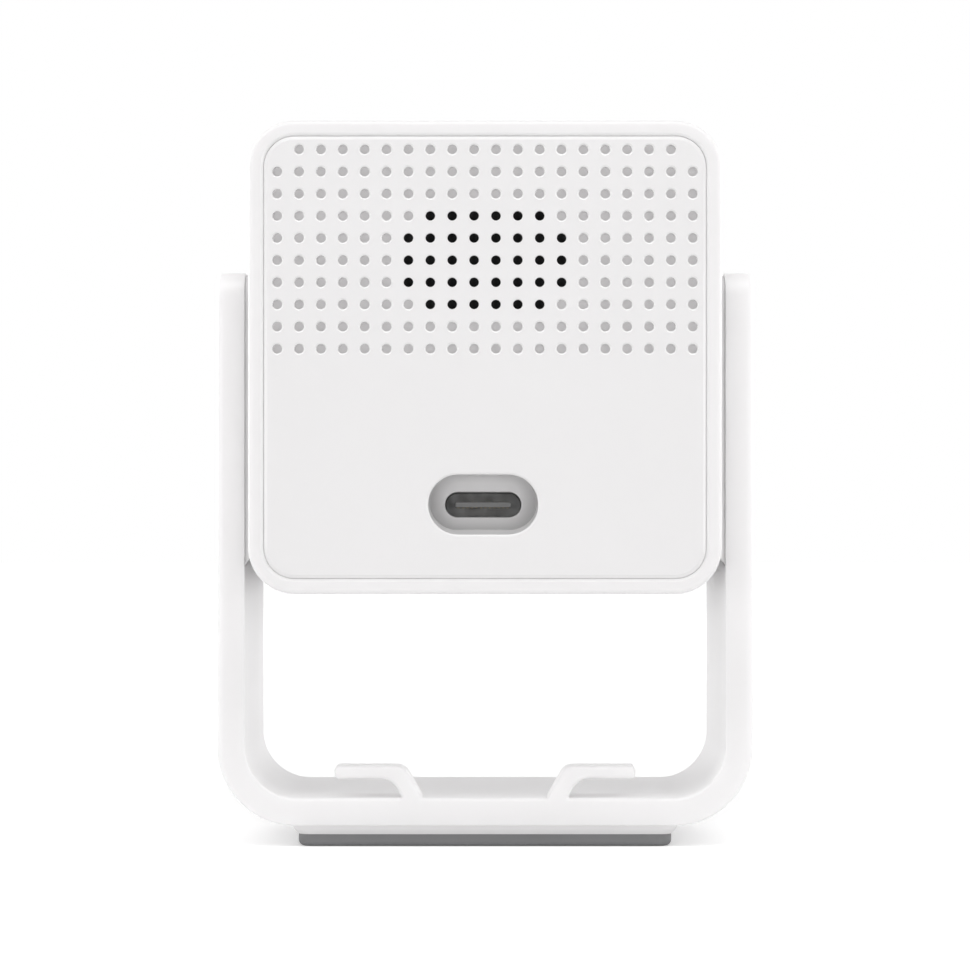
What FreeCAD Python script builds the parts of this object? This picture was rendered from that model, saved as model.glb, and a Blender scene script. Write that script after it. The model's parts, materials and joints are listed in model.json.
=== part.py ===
import FreeCAD, Part
import math
import os
import re

import Sketcher

# A small indoor pet camera: a cubic camera head that tilts between the two arms of a U-shaped stand.
# All sizes are millimetres. X runs across the arms, Y from the lens side (minus) to the back (plus), Z up.
# The origin is on the surface that the camera stands on, in the middle of the foot.
# The head's pieces are drawn about the tilt axis and lifted to it by their placement.
# "Ahead" is the distance from the tilt axis towards the lens side, so it is minus Y.

Vector = FreeCAD.Vector
document = FreeCAD.newDocument("pet_camera")
sheet = document.addObject("Spreadsheet::Sheet", "sizes")

DRIVING_SIZES = [
    # The stand
    ("stand_width", 61.0, "across the outside of the two arms"),
    ("band_thick", 3.2, "thickness of the U-shaped band"),
    ("band_depth", 30.0, "front to back across the band"),
    ("stand_corner", 9.0, "outer radius of the band's lower corners"),
    ("arm_top", 65.4, "height of the arms' ends above the table"),
    ("arm_end_round", 2.6, "radius of the arms' end corners, seen from the side"),
    ("band_edge", 0.45, "rounding of the band's long edges"),
    ("hook_root", 7.1, "from the middle to the near side of a cable hook's stem, at the floor"),
    ("hook_stem", 2.35, "width of the stem, measured level"),
    ("hook_lean", 29.2, "degrees by which the stem leans outwards"),
    ("hook_rise", 3.6, "height of a hook's top above the stand's floor"),
    ("hook_reach", 17.1, "from the middle to a hook's tip"),
    ("hook_thick", 1.45, "thickness of the flat finger of a hook"),
    ("hook_depth", 4.5, "front to back across a hook"),
    ("hook_bend", 1.6, "radius of the outside of a hook's bend"),
    ("hook_crook", 2.2, "radius of the inside of a hook's bend"),
    ("hook_tip", 0.5, "rounding of a hook's tip"),
    ("hook_edge", 0.35, "rounding of a hook's front and back edges"),
    # The base under the stand
    ("foot_height", 1.4, "thickness of the rubber foot"),
    ("foot_width", 42.65, "width of the rubber foot"),
    ("foot_depth", 27.4, "front to back across the rubber foot"),
    ("foot_edge", 0.7, "rounding of the foot's lower edge"),
    ("base_corner", 1.6, "corner radius of the foot and base plate"),
    ("base_thick", 1.05, "thickness of the base plate"),
    ("base_flare", 1.0, "how much wider the base plate is at its top, each side"),
    ("base_screw_x", 32.0, "spacing of the base screws across"),
    ("base_screw_y", 18.0, "spacing of the base screws front to back"),
    # The pivots
    ("pivot_height", 55.0, "height of the tilt axis above the table"),
    ("journal_r", 3.0, "radius of a pivot's journal"),
    ("sleeve_r", 4.0, "radius of a bush's sleeve"),
    ("flange_r", 6.0, "radius of a bush's flange"),
    ("running_gap", 0.03, "clearance of pieces that turn on each other"),
    ("cap_seat_r", 6.5, "radius of the round recess for a pivot cap"),
    ("cap_seat_deep", 2.15, "depth of that recess"),
    ("cap_thick", 0.7, "thickness of a pivot cap"),
    ("spring_high", 0.45, "height of a pressed disc spring"),
    ("washer_thick", 0.3, "thickness of a pivot washer"),
    ("stop_ring_r", 9.3, "from the tilt axis to the stop stud"),
    ("stop_stud_r", 1.0, "radius of the stop stud"),
    ("stop_gap", 0.15, "clearance of the stud in its groove"),
    ("stop_deep", 0.8, "depth of the stop groove"),
    # The head's case
    ("head_size", 52.0, "width and height of the head"),
    ("head_depth", 53.2, "front to back over the window ring"),
    ("head_corner", 5.1, "corner radius of the head, seen from the back"),
    ("case_front", 26.2, "from the tilt axis ahead to the case's front face"),
    ("case_wall", 1.7, "thickness of the case's side walls"),
    ("front_wall", 3.0, "thickness of the case's front wall"),
    ("front_edge", 2.4, "rounding of the case's front edges"),
    ("back_edge", 0.5, "rounding of the case's back edges"),
    ("pillar_at", 20.2, "from the lens axis to the corner pillars, both ways"),
    ("pillar_r", 2.6, "radius of a corner pillar"),
    ("frame_front", 18.0, "from the tilt axis ahead to the inner frame's front face"),
    # The back panel
    ("panel_gap", 0.15, "width of the seam round the back panel"),
    ("panel_seam", 0.4, "depth of that seam"),
    ("panel_fit", 0.03, "clearance of the panel in the case behind the seam"),
    ("panel_thick", 1.8, "thickness of the back panel"),
    ("dot_r", 0.52, "radius of a dot of the back panel"),
    ("dot_rim", 0.14, "flare of a dot's rim"),
    ("dot_deep", 0.6, "depth of a dot that doesn't go through"),
    ("dot_step_x", 2.4, "spacing of the dots across"),
    ("dot_step_z", 2.43, "spacing of the dots up and down"),
    ("dot_top", 22.81, "from the head's centre up to the top row of dots"),
    ("speaker_up", 10.66, "from the head's centre up to the speaker's centre"),
    ("speaker_long", 21.6, "length of the speaker"),
    ("speaker_tall", 14.6, "height of the speaker"),
    ("port_down", 16.15, "from the head's centre down to the power socket's centre"),
    ("port_long", 12.1, "length of the recess round the power socket"),
    ("port_tall", 6.6, "height of that recess"),
    ("port_deep", 2.6, "depth of that recess"),
    ("port_floor", 0.6, "thickness of that recess's floor"),
    ("socket_long", 8.34, "length of the power socket's mouth"),
    ("socket_tall", 2.66, "height of the power socket's mouth"),
    ("socket_wall", 0.3, "thickness of the socket's metal shell"),
    # The front: window, lens and boards
    ("ring_r", 17.95, "outer radius of the window's ring"),
    ("window_r", 16.95, "outer radius of the dark window"),
    ("window_hole_r", 7.4, "radius of the window's hole for the lens"),
    ("window_thick", 1.4, "thickness of the window"),
    ("window_sunk", 0.2, "how far the window lies below the case's front face"),
    ("window_ledge", 15.4, "radius of the opening behind the window"),
    ("barrel_r", 6.0, "radius of the lens barrel's threaded body"),
    ("barrel_face_r", 7.0, "radius of the lens barrel's front"),
    ("board_front", 4.0, "from the tilt axis ahead to the main board's front face"),
    ("board_size", 42.0, "width and height of the main board"),
    ("board_thick", 1.2, "thickness of the main board"),
    ("standoff_x", 14.5, "from the lens axis to the main board's screws, across"),
    ("standoff_z", 19.0, "from the lens axis to the main board's screws, up and down"),
    ("light_board", 20.0, "from the tilt axis ahead to the infrared board's back face"),
    ("signal_x", 4.0, "from the middle to the status light and to the microphone"),
    ("signal_down", 21.0, "from the lens axis down to the status light and microphone"),
    ("filter_step", 5.4, "travel of the infrared filter"),
    ("button_ahead", 5.8, "from the tilt axis ahead to the reset button"),
    ("button_r", 2.0, "radius of the reset button"),
    ("pilot_r", 0.8, "radius of a small screw's pilot hole"),
]


def fill_sheet():
    """Writes every driving size into its own row: its name, its value with an alias, and what it is."""
    for row, (name, value, meaning) in enumerate(DRIVING_SIZES, start=1):
        sheet.set(f"A{row}", name)
        sheet.set(f"B{row}", str(value))
        sheet.setAlias(f"B{row}", name)
        sheet.set(f"C{row}", meaning)
    document.recompute()


ALIASES = {name for name, _, _ in DRIVING_SIZES}


def bound(text):
    """An expression on the sheet's cells: 'head_size / 2' becomes 'sizes.head_size / 2'."""
    return re.sub(r"[a-z][a-z_]*", lambda w: f"sizes.{w[0]}" if w[0] in ALIASES else w[0], str(text))


def number(text):
    """The value of such an expression."""
    return float(sheet.evalExpression(bound(text)))


def bind(thing, prop, text):
    thing.setExpression(prop, bound(text))


def check(thing):
    """Stops the build if a feature failed, because a recompute alone doesn't."""
    document.recompute()
    if {"Invalid", "Error"} & set(thing.State):
        raise RuntimeError(f"{thing.Label} failed: {thing.getStatusString()}")
    return thing


class Outline:
    """A sketch on one of a body's own planes, with closed outlines whose sizes follow the sheet.

    The plane "front" looks along Y and its pads grow ahead; "side" looks along X and its pads grow to the
    right; "top" looks along Z and its pads grow upwards. Offset moves the plane that same way."""

    PLANES = {"front": "XZ_Plane", "side": "YZ_Plane", "top": "XY_Plane"}

    def __init__(self, body, plane, offset="0", shift_u="0", shift_v="0"):
        self.sketch = body.newObject("Sketcher::SketchObject", "outline")
        planes = body.Origin.OriginFeatures
        support = next(p for p in planes if p.Role == self.PLANES[plane])
        self.sketch.AttachmentSupport = [(support, "")]
        self.sketch.MapMode = "FlatFace"
        bind(self.sketch, "AttachmentOffset.Base.x", shift_u)
        bind(self.sketch, "AttachmentOffset.Base.y", shift_v)
        bind(self.sketch, "AttachmentOffset.Base.z", offset)

    def fix(self, kind, *where_and_text):
        """Adds a dimension whose value is an expression."""
        *where, text = where_and_text
        index = self.sketch.addConstraint(Sketcher.Constraint(kind, *where, number(text)))
        bind(self.sketch, f"Constraints[{index}]", text)

    def line(self, start, end):
        return self.sketch.addGeometry(Part.LineSegment(Vector(*start, 0), Vector(*end, 0)), False)

    def arc(self, centre, radius, start_deg, end_deg):
        circle = Part.Circle(Vector(*centre, 0), Vector(0, 0, 1), radius)
        geometry = Part.ArcOfCircle(circle, math.radians(start_deg), math.radians(end_deg))
        return self.sketch.addGeometry(geometry, False)

    def circle(self, radius, u="0", v="0"):
        centre = Vector(number(u), number(v), 0)
        geometry = Part.Circle(centre, Vector(0, 0, 1), number(radius))
        index = self.sketch.addGeometry(geometry, False)
        self.fix("Radius", index, radius)
        self.fix("DistanceX", -1, 1, index, 3, u)
        self.fix("DistanceY", -1, 1, index, 3, v)
        return self

    def polygon(self, *corners):
        """Straight sides from corner to corner, each corner a pair of expressions."""
        points = [(number(u), number(v)) for u, v in corners]
        sides = [self.line(p, points[(i + 1) % len(points)]) for i, p in enumerate(points)]
        for i, side in enumerate(sides):
            self.sketch.addConstraint(
                Sketcher.Constraint("Coincident", side, 2, sides[(i + 1) % len(sides)], 1)
            )
            self.fix("DistanceX", -1, 1, side, 1, corners[i][0])
            self.fix("DistanceY", -1, 1, side, 1, corners[i][1])
        return self

    def rectangle(self, width, height, u="0", v="0"):
        left, right = f"({u}) - ({width}) / 2", f"({u}) + ({width}) / 2"
        low, high = f"({v}) - ({height}) / 2", f"({v}) + ({height}) / 2"
        return self.polygon((left, low), (right, low), (right, high), (left, high))

    def rounded(self, width, height, radius, u="0", v="0"):
        """A rectangle with round corners."""
        half_w, half_h = number(width) / 2, number(height) / 2
        r, cu, cv = number(radius), number(u), number(v)
        inner_u, inner_v = half_w - r, half_h - r
        sides = []
        quarter = 90
        for turn, (su, sv) in enumerate([(1, -1), (1, 1), (-1, 1), (-1, -1)]):
            # Each side runs into the corner that follows it, anticlockwise from the bottom side.
            angle = math.radians(quarter * (turn - 1))
            out_u, out_v = math.cos(angle), math.sin(angle)
            corner = (cu + su * inner_u, cv + sv * inner_v)
            before = (cu + inner_u * [-1, 1, 1, -1][turn], cv + inner_v * [-1, -1, 1, 1][turn])
            start = (before[0] + r * out_u, before[1] + r * out_v)
            end = (corner[0] + r * out_u, corner[1] + r * out_v)
            sides.append(self.line(start, end))
            sides.append(self.arc(corner, r, quarter * (turn - 1), quarter * turn))
        constraints = [
            Sketcher.Constraint("Tangent", sides[i], 2, sides[(i + 1) % 8], 1) for i in range(8)
        ]
        constraints += [Sketcher.Constraint("Horizontal", sides[i]) for i in (0, 4)]
        constraints += [Sketcher.Constraint("Vertical", sides[i]) for i in (2, 6)]
        constraints += [Sketcher.Constraint("Equal", sides[1], sides[i]) for i in (3, 5, 7)]
        self.sketch.addConstraint(constraints)
        self.fix("Radius", sides[1], radius)
        self.fix("DistanceX", sides[6], 1, sides[2], 1, width)
        self.fix("DistanceY", sides[0], 1, sides[4], 1, height)
        self.fix("DistanceX", -1, 1, sides[2], 1, f"({u}) + ({width}) / 2")
        self.fix("DistanceY", -1, 1, sides[4], 1, f"({v}) + ({height}) / 2")
        return self

    def stadium(self, length, height, u="0", v="0"):
        """Two straight sides joined by half circles, lying level."""
        r, cu, cv = number(height) / 2, number(u), number(v)
        half = number(length) / 2 - r
        low = self.line((cu - half, cv - r), (cu + half, cv - r))
        right = self.arc((cu + half, cv), r, -90, 90)
        high = self.line((cu + half, cv + r), (cu - half, cv + r))
        left = self.arc((cu - half, cv), r, 90, 270)
        ring = [low, right, high, left]
        constraints = [
            Sketcher.Constraint("Tangent", ring[i], 2, ring[(i + 1) % 4], 1) for i in range(4)
        ]
        constraints.append(Sketcher.Constraint("Horizontal", low))
        self.sketch.addConstraint(constraints)
        self.fix("Radius", right, f"({height}) / 2")
        self.fix("DistanceX", -1, 1, right, 3, f"({u}) + ({length}) / 2 - ({height}) / 2")
        self.fix("DistanceY", -1, 1, right, 3, v)
        self.fix("DistanceX", -1, 1, left, 3, f"({u}) - ({length}) / 2 + ({height}) / 2")
        return self

    def lower_arc_slot(self, ring_radius, half_width, v):
        """A slot of even width along the lower half of a circle about the point (0, v)."""
        r, w, cv = number(ring_radius), number(half_width), number(v)
        outer = self.arc((0, cv), r + w, 180, 360)
        right = self.arc((r, cv), w, 0, 180)
        inner = self.arc((0, cv), r - w, 180, 360)
        left = self.arc((-r, cv), w, 0, 180)
        joins = [(outer, 2, right, 1), (right, 2, inner, 2), (inner, 1, left, 1), (left, 2, outer, 1)]
        self.sketch.addConstraint([Sketcher.Constraint("Tangent", *join) for join in joins])
        self.sketch.addConstraint(Sketcher.Constraint("Coincident", outer, 3, inner, 3))
        self.fix("Radius", outer, f"({ring_radius}) + ({half_width})")
        self.fix("Radius", inner, f"({ring_radius}) - ({half_width})")
        self.fix("DistanceX", -1, 1, outer, 3, "0")
        self.fix("DistanceY", -1, 1, outer, 3, v)
        for end in (right, left):
            self.fix("DistanceY", -1, 1, end, 3, v)
        return self

    def four(self, radius, at_u, at_v):
        """Four equal circles, at plus and minus at_u and plus and minus at_v."""
        for side in ("-1", "1"):
            for level in ("-1", "1"):
                self.circle(radius, f"{side} * ({at_u})", f"{level} * ({at_v})")
        return self

    def pair(self, radius, at_u, v="0"):
        """Two equal circles, at plus and minus at_u."""
        return self.circle(radius, f"-({at_u})", v).circle(radius, at_u, v)


class Piece:
    """One sub-part: a body named after the piece, and the features that make it."""

    made = []

    def __init__(self, name, in_head=True, turned=False, several=False):
        self.body = document.addObject("PartDesign::Body", name)
        self.body.Label = name
        self.body.AllowCompound = several
        if in_head:
            bind(self.body, "Placement.Base.z", "pivot_height")
        if turned:
            self.body.Placement.Rotation = FreeCAD.Rotation(Vector(0, 0, 1), 180)
        Piece.made.append(self.body)

    def outline(self, plane, offset="0", **shifts):
        return Outline(self.body, plane, offset, **shifts)

    def feature(self, kind, outline=None, **values):
        thing = self.body.newObject(f"PartDesign::{kind}", kind)
        if outline is not None:
            thing.Profile = outline.sketch
        for prop, value in values.items():
            setattr(thing, prop, value)
        return thing

    def pad(self, outline, length, back=False, both=False, taper=0.0):
        side = "Symmetric" if both else "One side"
        pad = self.feature("Pad", outline, Reversed=back, SideType=side, TaperAngle=taper)
        bind(pad, "Length", length)
        return check(pad)

    def pocket(self, outline, depth=None, back=False, both=False):
        """Cuts against the plane's own direction, or with it if back is set. No depth cuts right through."""
        before = self.body.Shape.Volume if self.body.Tip else 0
        side = "Symmetric" if both else "One side"
        pocket = self.feature("Pocket", outline, Reversed=back, SideType=side)
        if depth is None:
            pocket.Type = "ThroughAll"
        else:
            bind(pocket, "Length", depth)
        check(pocket)
        return self.has_cut(pocket, before)

    def has_cut(self, thing, before):
        if thing.Shape.Volume > before - 1e-6:
            raise RuntimeError(f"{self.body.Label}: {thing.Label} cuts nothing")
        return thing

    def turn(self, outline, axis="V_Axis"):
        """A solid of revolution about the outline's own axis."""
        turned = self.feature("Revolution", outline, ReferenceAxis=(outline.sketch, [axis]), Angle=360)
        return check(turned)

    def groove(self, outline, axis="V_Axis"):
        before = self.body.Shape.Volume
        cut = self.feature("Groove", outline, ReferenceAxis=(outline.sketch, [axis]), Angle=360)
        check(cut)
        return self.has_cut(cut, before)

    def edges(self, test):
        shape = self.body.Tip.Shape
        return [f"Edge{i}" for i, edge in enumerate(shape.Edges, start=1) if test(edge)]

    def fillet(self, radius, test, kind="Fillet"):
        names = self.edges(test)
        if not names:
            raise RuntimeError(f"{self.body.Label}: no edge to round")
        prop = "Radius" if kind == "Fillet" else "Size"
        rounded = self.feature(kind, Base=(self.body.Tip, names))
        bind(rounded, prop, radius)
        return check(rounded)

    def rows(self, outline, feature, count_u, step_u, count_v=1, step_v="1", axes=("N_Axis", "V_Axis"), flip=()):
        """Repeats a feature in a grid, along two axes of its own outline."""
        pattern = self.feature(
            "LinearPattern",
            Originals=[feature],
            Direction=(outline.sketch, [axes[0]]),
            Direction2=(outline.sketch, [axes[1]]),
            Reversed=axes[0] in flip,
            Reversed2=axes[1] in flip,
            Occurrences=count_u,
            Occurrences2=count_v,
        )
        bind(pattern, "Length", f"({step_u}) * {max(count_u - 1, 1)}")
        bind(pattern, "Length2", f"({step_v}) * {max(count_v - 1, 1)}")
        self.body.Tip = pattern
        return check(pattern)

    def polar(self, feature, count, axis_role="Y_Axis"):
        axis = next(a for a in self.body.Origin.OriginFeatures if a.Role == axis_role)
        pattern = self.feature("PolarPattern", Originals=[feature], Axis=(axis, [""]), Occurrences=count)
        pattern.Angle = 360
        self.body.Tip = pattern
        return check(pattern)

    def mirror(self, *features, role="YZ_Plane"):
        plane = next(p for p in self.body.Origin.OriginFeatures if p.Role == role)
        mirrored = self.feature("Mirrored", Originals=list(features), MirrorPlane=(plane, [""]))
        self.body.Tip = mirrored
        return check(mirrored)


def spans(edge):
    """An edge's extent along X, Y and Z."""
    box = edge.BoundBox
    return box.XLength, box.YLength, box.ZLength


def on_level(edge, axis, level, slack=1e-3):
    """Whether the whole edge lies at one coordinate along an axis (0, 1 or 2 for X, Y or Z)."""
    box = edge.BoundBox
    low = (box.XMin, box.YMin, box.ZMin)[axis]
    high = (box.XMax, box.YMax, box.ZMax)[axis]
    return abs(low - level) < slack and abs(high - level) < slack


# The stand: a U-shaped band with two cable hooks, its base and its pivot hardware


def stand_bracket():
    piece = Piece("stand_bracket", in_head=False)
    half, floor = "stand_width / 2", "foot_height + base_thick"
    inner, floor_top = "stand_width / 2 - band_thick", "foot_height + base_thick + band_thick"
    band = piece.outline("front").polygon(
        (f"-({half})", floor), (half, floor), (half, "arm_top"), (inner, "arm_top"),
        (inner, floor_top), (f"-({inner})", floor_top), (f"-({inner})", "arm_top"),
        (f"-({half})", "arm_top"),
    )
    piece.pad(band, "band_depth", both=True)

    def crosses_at(edge, x, z):
        box = edge.BoundBox
        along = spans(edge)[1] > 1
        return along and abs(abs(box.XMin) - number(x)) < 1e-3 and abs(box.ZMin - number(z)) < 1e-3

    piece.fillet("stand_corner", lambda e: crosses_at(e, half, floor))
    piece.fillet("stand_corner - band_thick", lambda e: crosses_at(e, inner, floor_top))
    top, rim = number("arm_top"), number("band_depth / 2")
    piece.fillet(
        "arm_end_round",
        lambda e: on_level(e, 2, top) and spans(e)[1] < 1e-3 and abs(abs(e.BoundBox.YMin) - rim) < 1e-3,
    )
    piece.fillet("band_edge", lambda e: on_level(e, 1, rim) or on_level(e, 1, -rim))
    cable_hooks(piece)
    pivot_seats(piece)
    screw_x, screw_y = "-base_screw_x / 2", "-base_screw_y / 2"
    pilot = piece.outline("top", floor, shift_u=screw_x, shift_v=screw_y).circle("0.9")
    hole = piece.pocket(pilot, "2.2", back=True)
    piece.rows(pilot, hole, 2, "base_screw_x", 2, "base_screw_y", axes=("H_Axis", "V_Axis"))


def cable_hooks(piece):
    """Two hooks at the floor's back edge: a leaning stem, then a flat finger that points outwards."""
    floor_top = "(foot_height + base_thick + band_thick)"
    root_sunk = 1.2
    slope = "tan(hook_lean)"
    foot = f"{floor_top} - {root_sunk}"
    top, under = f"{floor_top} + hook_rise", f"{floor_top} + hook_rise - hook_thick"
    for side in ("1", "-1"):
        near = f"{side} * (hook_root - {root_sunk} * {slope})"
        far = f"{side} * (hook_root + hook_stem - {root_sunk} * {slope})"
        near_top = f"{side} * (hook_root + hook_rise * {slope})"
        far_under = f"{side} * (hook_root + hook_stem + (hook_rise - hook_thick) * {slope})"
        tip = f"{side} * hook_reach"
        hook = piece.outline("front", "-band_depth / 2").polygon(
            (near, foot), (far, foot), (far_under, under), (tip, under), (tip, top), (near_top, top)
        )
        piece.pad(hook, "hook_depth")

    def bend(edge, x, z):
        box = edge.BoundBox
        deep = abs(spans(edge)[1] - number("hook_depth")) < 1e-3
        return deep and abs(abs(box.XMin) - number(x)) < 1e-3 and abs(box.ZMin - number(z)) < 1e-3

    piece.fillet("hook_bend", lambda e: bend(e, f"hook_root + hook_rise * {slope}", top))
    crook_x = f"hook_root + hook_stem + (hook_rise - hook_thick) * {slope}"
    piece.fillet("hook_crook", lambda e: bend(e, crook_x, under))
    piece.fillet("hook_tip", lambda e: bend(e, "hook_reach", top) or bend(e, "hook_reach", under))
    back = number("band_depth / 2")
    low, high = number(floor_top) + 0.05, number("pivot_height / 2")
    faces = (back, back - number("hook_depth"))

    def hook_rim(edge):
        box = edge.BoundBox
        above = low < box.ZMin and box.ZMax < high and abs(box.XMin) < number("hook_reach") + 1
        return above and any(on_level(edge, 1, level) for level in faces)

    piece.fillet("hook_edge", hook_rim)


def pivot_seats(piece):
    """In each arm: the bush's hole, the cap's round recess outside and the stop groove inside."""
    hole = piece.outline("side").circle("sleeve_r", v="pivot_height")
    piece.pocket(hole, both=True)
    recess = piece.outline("side", "stand_width / 2").circle("cap_seat_r", v="pivot_height")
    seat = piece.pocket(recess, "cap_seat_deep")
    inside = piece.outline("side", "stand_width / 2 - band_thick")
    inside.lower_arc_slot("stop_ring_r", "stop_stud_r + stop_gap", "pivot_height")
    groove = piece.pocket(inside, "stop_deep", back=True)
    piece.mirror(seat, groove)


def base_plate():
    piece = Piece("base_plate", in_head=False)
    width, depth = "foot_width + 0.1", "foot_depth + 0.1"
    plate = piece.outline("top", "foot_height").rounded(width, depth, "base_corner")
    flare = math.degrees(math.atan2(number("base_flare"), number("base_thick")))
    piece.pad(plate, "base_thick", taper=flare)
    head = piece.outline("side", "-base_screw_x / 2", shift_u="-base_screw_y / 2")
    top = "foot_height + base_thick"
    head.polygon(
        ("0", "foot_height - 0.1"), ("2.45", "foot_height - 0.1"), ("1.2", f"{top} - 0.1"),
        ("1.2", f"{top} + 0.1"), ("0", f"{top} + 0.1"),
    )
    cut = piece.groove(head)
    piece.rows(head, cut, 2, "base_screw_x", 2, "base_screw_y", axes=("N_Axis", "H_Axis"))


def base_screws():
    """Countersunk screws that hold the base plate up against the stand's floor."""
    piece = Piece("base_screws", in_head=False, several=True)
    profile = piece.outline("side", "-base_screw_x / 2", shift_u="-base_screw_y / 2")
    top = "foot_height + base_thick"
    profile.polygon(
        ("0", "foot_height + 0.35"), ("0.5", "foot_height + 0.35"), ("0.75", "foot_height + 0.05"),
        ("2.2", "foot_height + 0.05"), ("1.1", f"{top} - 0.12"), ("0.88", f"{top} - 0.02"),
        ("0.88", f"{top} + 1.7"), ("0.3", f"{top} + 2.1"), ("0", f"{top} + 2.1"),
    )
    screw = piece.turn(profile)
    piece.rows(profile, screw, 2, "base_screw_x", 2, "base_screw_y", axes=("N_Axis", "H_Axis"))


def base_foot():
    """The rubber foot, with a shallow channel round its underside."""
    piece = Piece("base_foot", in_head=False)
    pad = piece.outline("top").rounded("foot_width", "foot_depth", "base_corner")
    piece.pad(pad, "foot_height")
    piece.fillet("foot_edge", lambda e: on_level(e, 2, 0))
    inset, groove_wide = 3.0, 0.8
    channel = piece.outline("top")
    for shrink in (2 * inset, 2 * (inset + groove_wide)):
        channel.rounded(f"foot_width - {shrink}", f"foot_depth - {shrink}", "base_corner")
    piece.pocket(channel, "0.3", back=True)


def pivot_bush(name, turned):
    """A flanged bush, pressed into the arm from inside; the head's journal turns in it."""
    piece = Piece(name, turned=turned)
    inner = "stand_width / 2 - band_thick"
    web = "stand_width / 2 - cap_seat_deep"
    flange_face = "head_size / 2 + running_gap"
    profile = piece.outline("front").polygon(
        (flange_face, "journal_r + running_gap"), (flange_face, "flange_r"), (inner, "flange_r"),
        (inner, "sleeve_r"), (web, "sleeve_r"), (web, "journal_r + running_gap"),
    )
    piece.turn(profile, "H_Axis")


def pivot_cap(name, turned):
    """The disc that closes the arm's recess, flush with the arm's outside."""
    piece = Piece(name, turned=turned)
    outside = "stand_width / 2"
    slack = 0.1
    skirt_in, skirt_wall = "stand_width / 2 - 1.6", 0.45
    profile = piece.outline("front").polygon(
        (f"{outside} - cap_thick", "0"), (outside, "0"), (outside, f"cap_seat_r - {slack} - 0.2"),
        (f"{outside} - 0.2", f"cap_seat_r - {slack}"), (skirt_in, f"cap_seat_r - {slack}"),
        (skirt_in, f"cap_seat_r - {slack} - {skirt_wall}"),
        (f"{outside} - cap_thick", f"cap_seat_r - {slack} - {skirt_wall}"),
    )
    piece.turn(profile, "H_Axis")


# The head's case, with the parts that join it to the stand


def head_shell():
    piece = Piece("head_shell")
    back = "-head_depth / 2"
    block = piece.outline("front", back).rounded("head_size", "head_size", "head_corner")
    piece.pad(block, "head_depth / 2 + case_front")
    piece.fillet("back_edge", lambda e: on_level(e, 1, number("head_depth / 2")))
    piece.fillet("front_edge", lambda e: on_level(e, 1, -number("case_front")))
    inside = "head_size - 2 * case_wall"
    cavity = piece.outline("front", back).rounded(inside, inside, "head_corner - case_wall")
    piece.pocket(cavity, "head_depth / 2 + case_front - front_wall", back=True)
    opening = piece.outline("front", "case_front").circle("window_ledge")
    piece.pocket(opening, "front_wall + 0.5")
    seat = piece.outline("front", "case_front").circle("ring_r + 0.05")
    piece.pocket(seat, "window_sunk + window_thick")
    signals = piece.outline("front", "case_front")
    signals.circle("0.85", "-signal_x", "-signal_down").circle("0.5", "signal_x", "-signal_down")
    piece.pocket(signals, "front_wall + 0.5")
    shell_pillars(piece)
    shell_pivots(piece)
    button = piece.outline("top", "-head_size / 2").circle("button_r + 0.1", v="-button_ahead")
    piece.pocket(button, "case_wall + 0.2", back=True)
    notch = piece.outline("top", "head_size / 2 - case_wall")
    for side in ("-1", "1"):
        notch.rectangle("8.6", "1.7", u=f"{side} * 12", v="head_depth / 2 - 5.75")
    cut = piece.pocket(notch, "0.6", back=True)
    piece.mirror(cut, role="XY_Plane")


def shell_pillars(piece):
    """Four pillars behind the front wall that carry the inner frame."""
    pillars = piece.outline("front", "frame_front").four("pillar_r", "pillar_at", "pillar_at")
    piece.pad(pillars, "case_front - front_wall - frame_front + 0.2")
    pilots = piece.outline("front", "frame_front").four("pilot_r", "pillar_at", "pillar_at")
    piece.pocket(pilots, "4.5", back=True)


def shell_pivots(piece):
    """The holes for the journals, the studs that stop the tilt, and the pins that hold the hubs."""
    inner_face = "head_size / 2 - case_wall"
    holes = piece.outline("side").circle("journal_r + 0.05")
    piece.pocket(holes, both=True)
    stud = piece.outline("side", "head_size / 2 - 0.5").circle("stop_stud_r", v="-stop_ring_r")
    gap = "(stand_width / 2 - band_thick - head_size / 2)"
    stud = piece.pad(stud, f"0.5 + {gap} + stop_deep - 0.2")
    pin_long = 2.0
    pins = piece.outline("side", f"{inner_face} - {pin_long}").pair("0.75", "6")
    pins = piece.pad(pins, f"{pin_long} + 0.3")
    piece.mirror(stud, pins)


def pivot_hub(name, turned):
    """The metal hub inside the case whose journal passes out into the bush."""
    piece = Piece(name, turned=turned)
    inner_face = "(head_size / 2 - case_wall)"
    flange_thick = 1.6
    flange = piece.outline("side", f"{inner_face} - {flange_thick}").rounded("16", "9", "1.5")
    piece.pad(flange, flange_thick)
    journal_end = "(stand_width / 2 - cap_seat_deep + spring_high)"
    journal = piece.outline("side", f"{inner_face} - 0.5").circle("journal_r")
    piece.pad(journal, f"{journal_end} - {inner_face} + 0.5")
    holes = piece.outline("side").pair("0.8", "6").circle("1.0")
    piece.pocket(holes, back=True)


def disc_springs():
    """The cone-shaped washers that press the head's hubs against the stand, so that the tilt stays put."""
    piece = Piece("disc_springs", several=True)
    web = "(stand_width / 2 - cap_seat_deep)"
    sheet_thick = 0.2
    outer_r, inner_r = "5.4", "3.15"
    profile = piece.outline("front").polygon(
        (f"{web} + 0.02", outer_r), (f"{web} + 0.02 + {sheet_thick}", outer_r),
        (f"{web} + spring_high", inner_r), (f"{web} + spring_high - {sheet_thick}", inner_r),
    )
    piece.mirror(piece.turn(profile, "H_Axis"))


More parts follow.
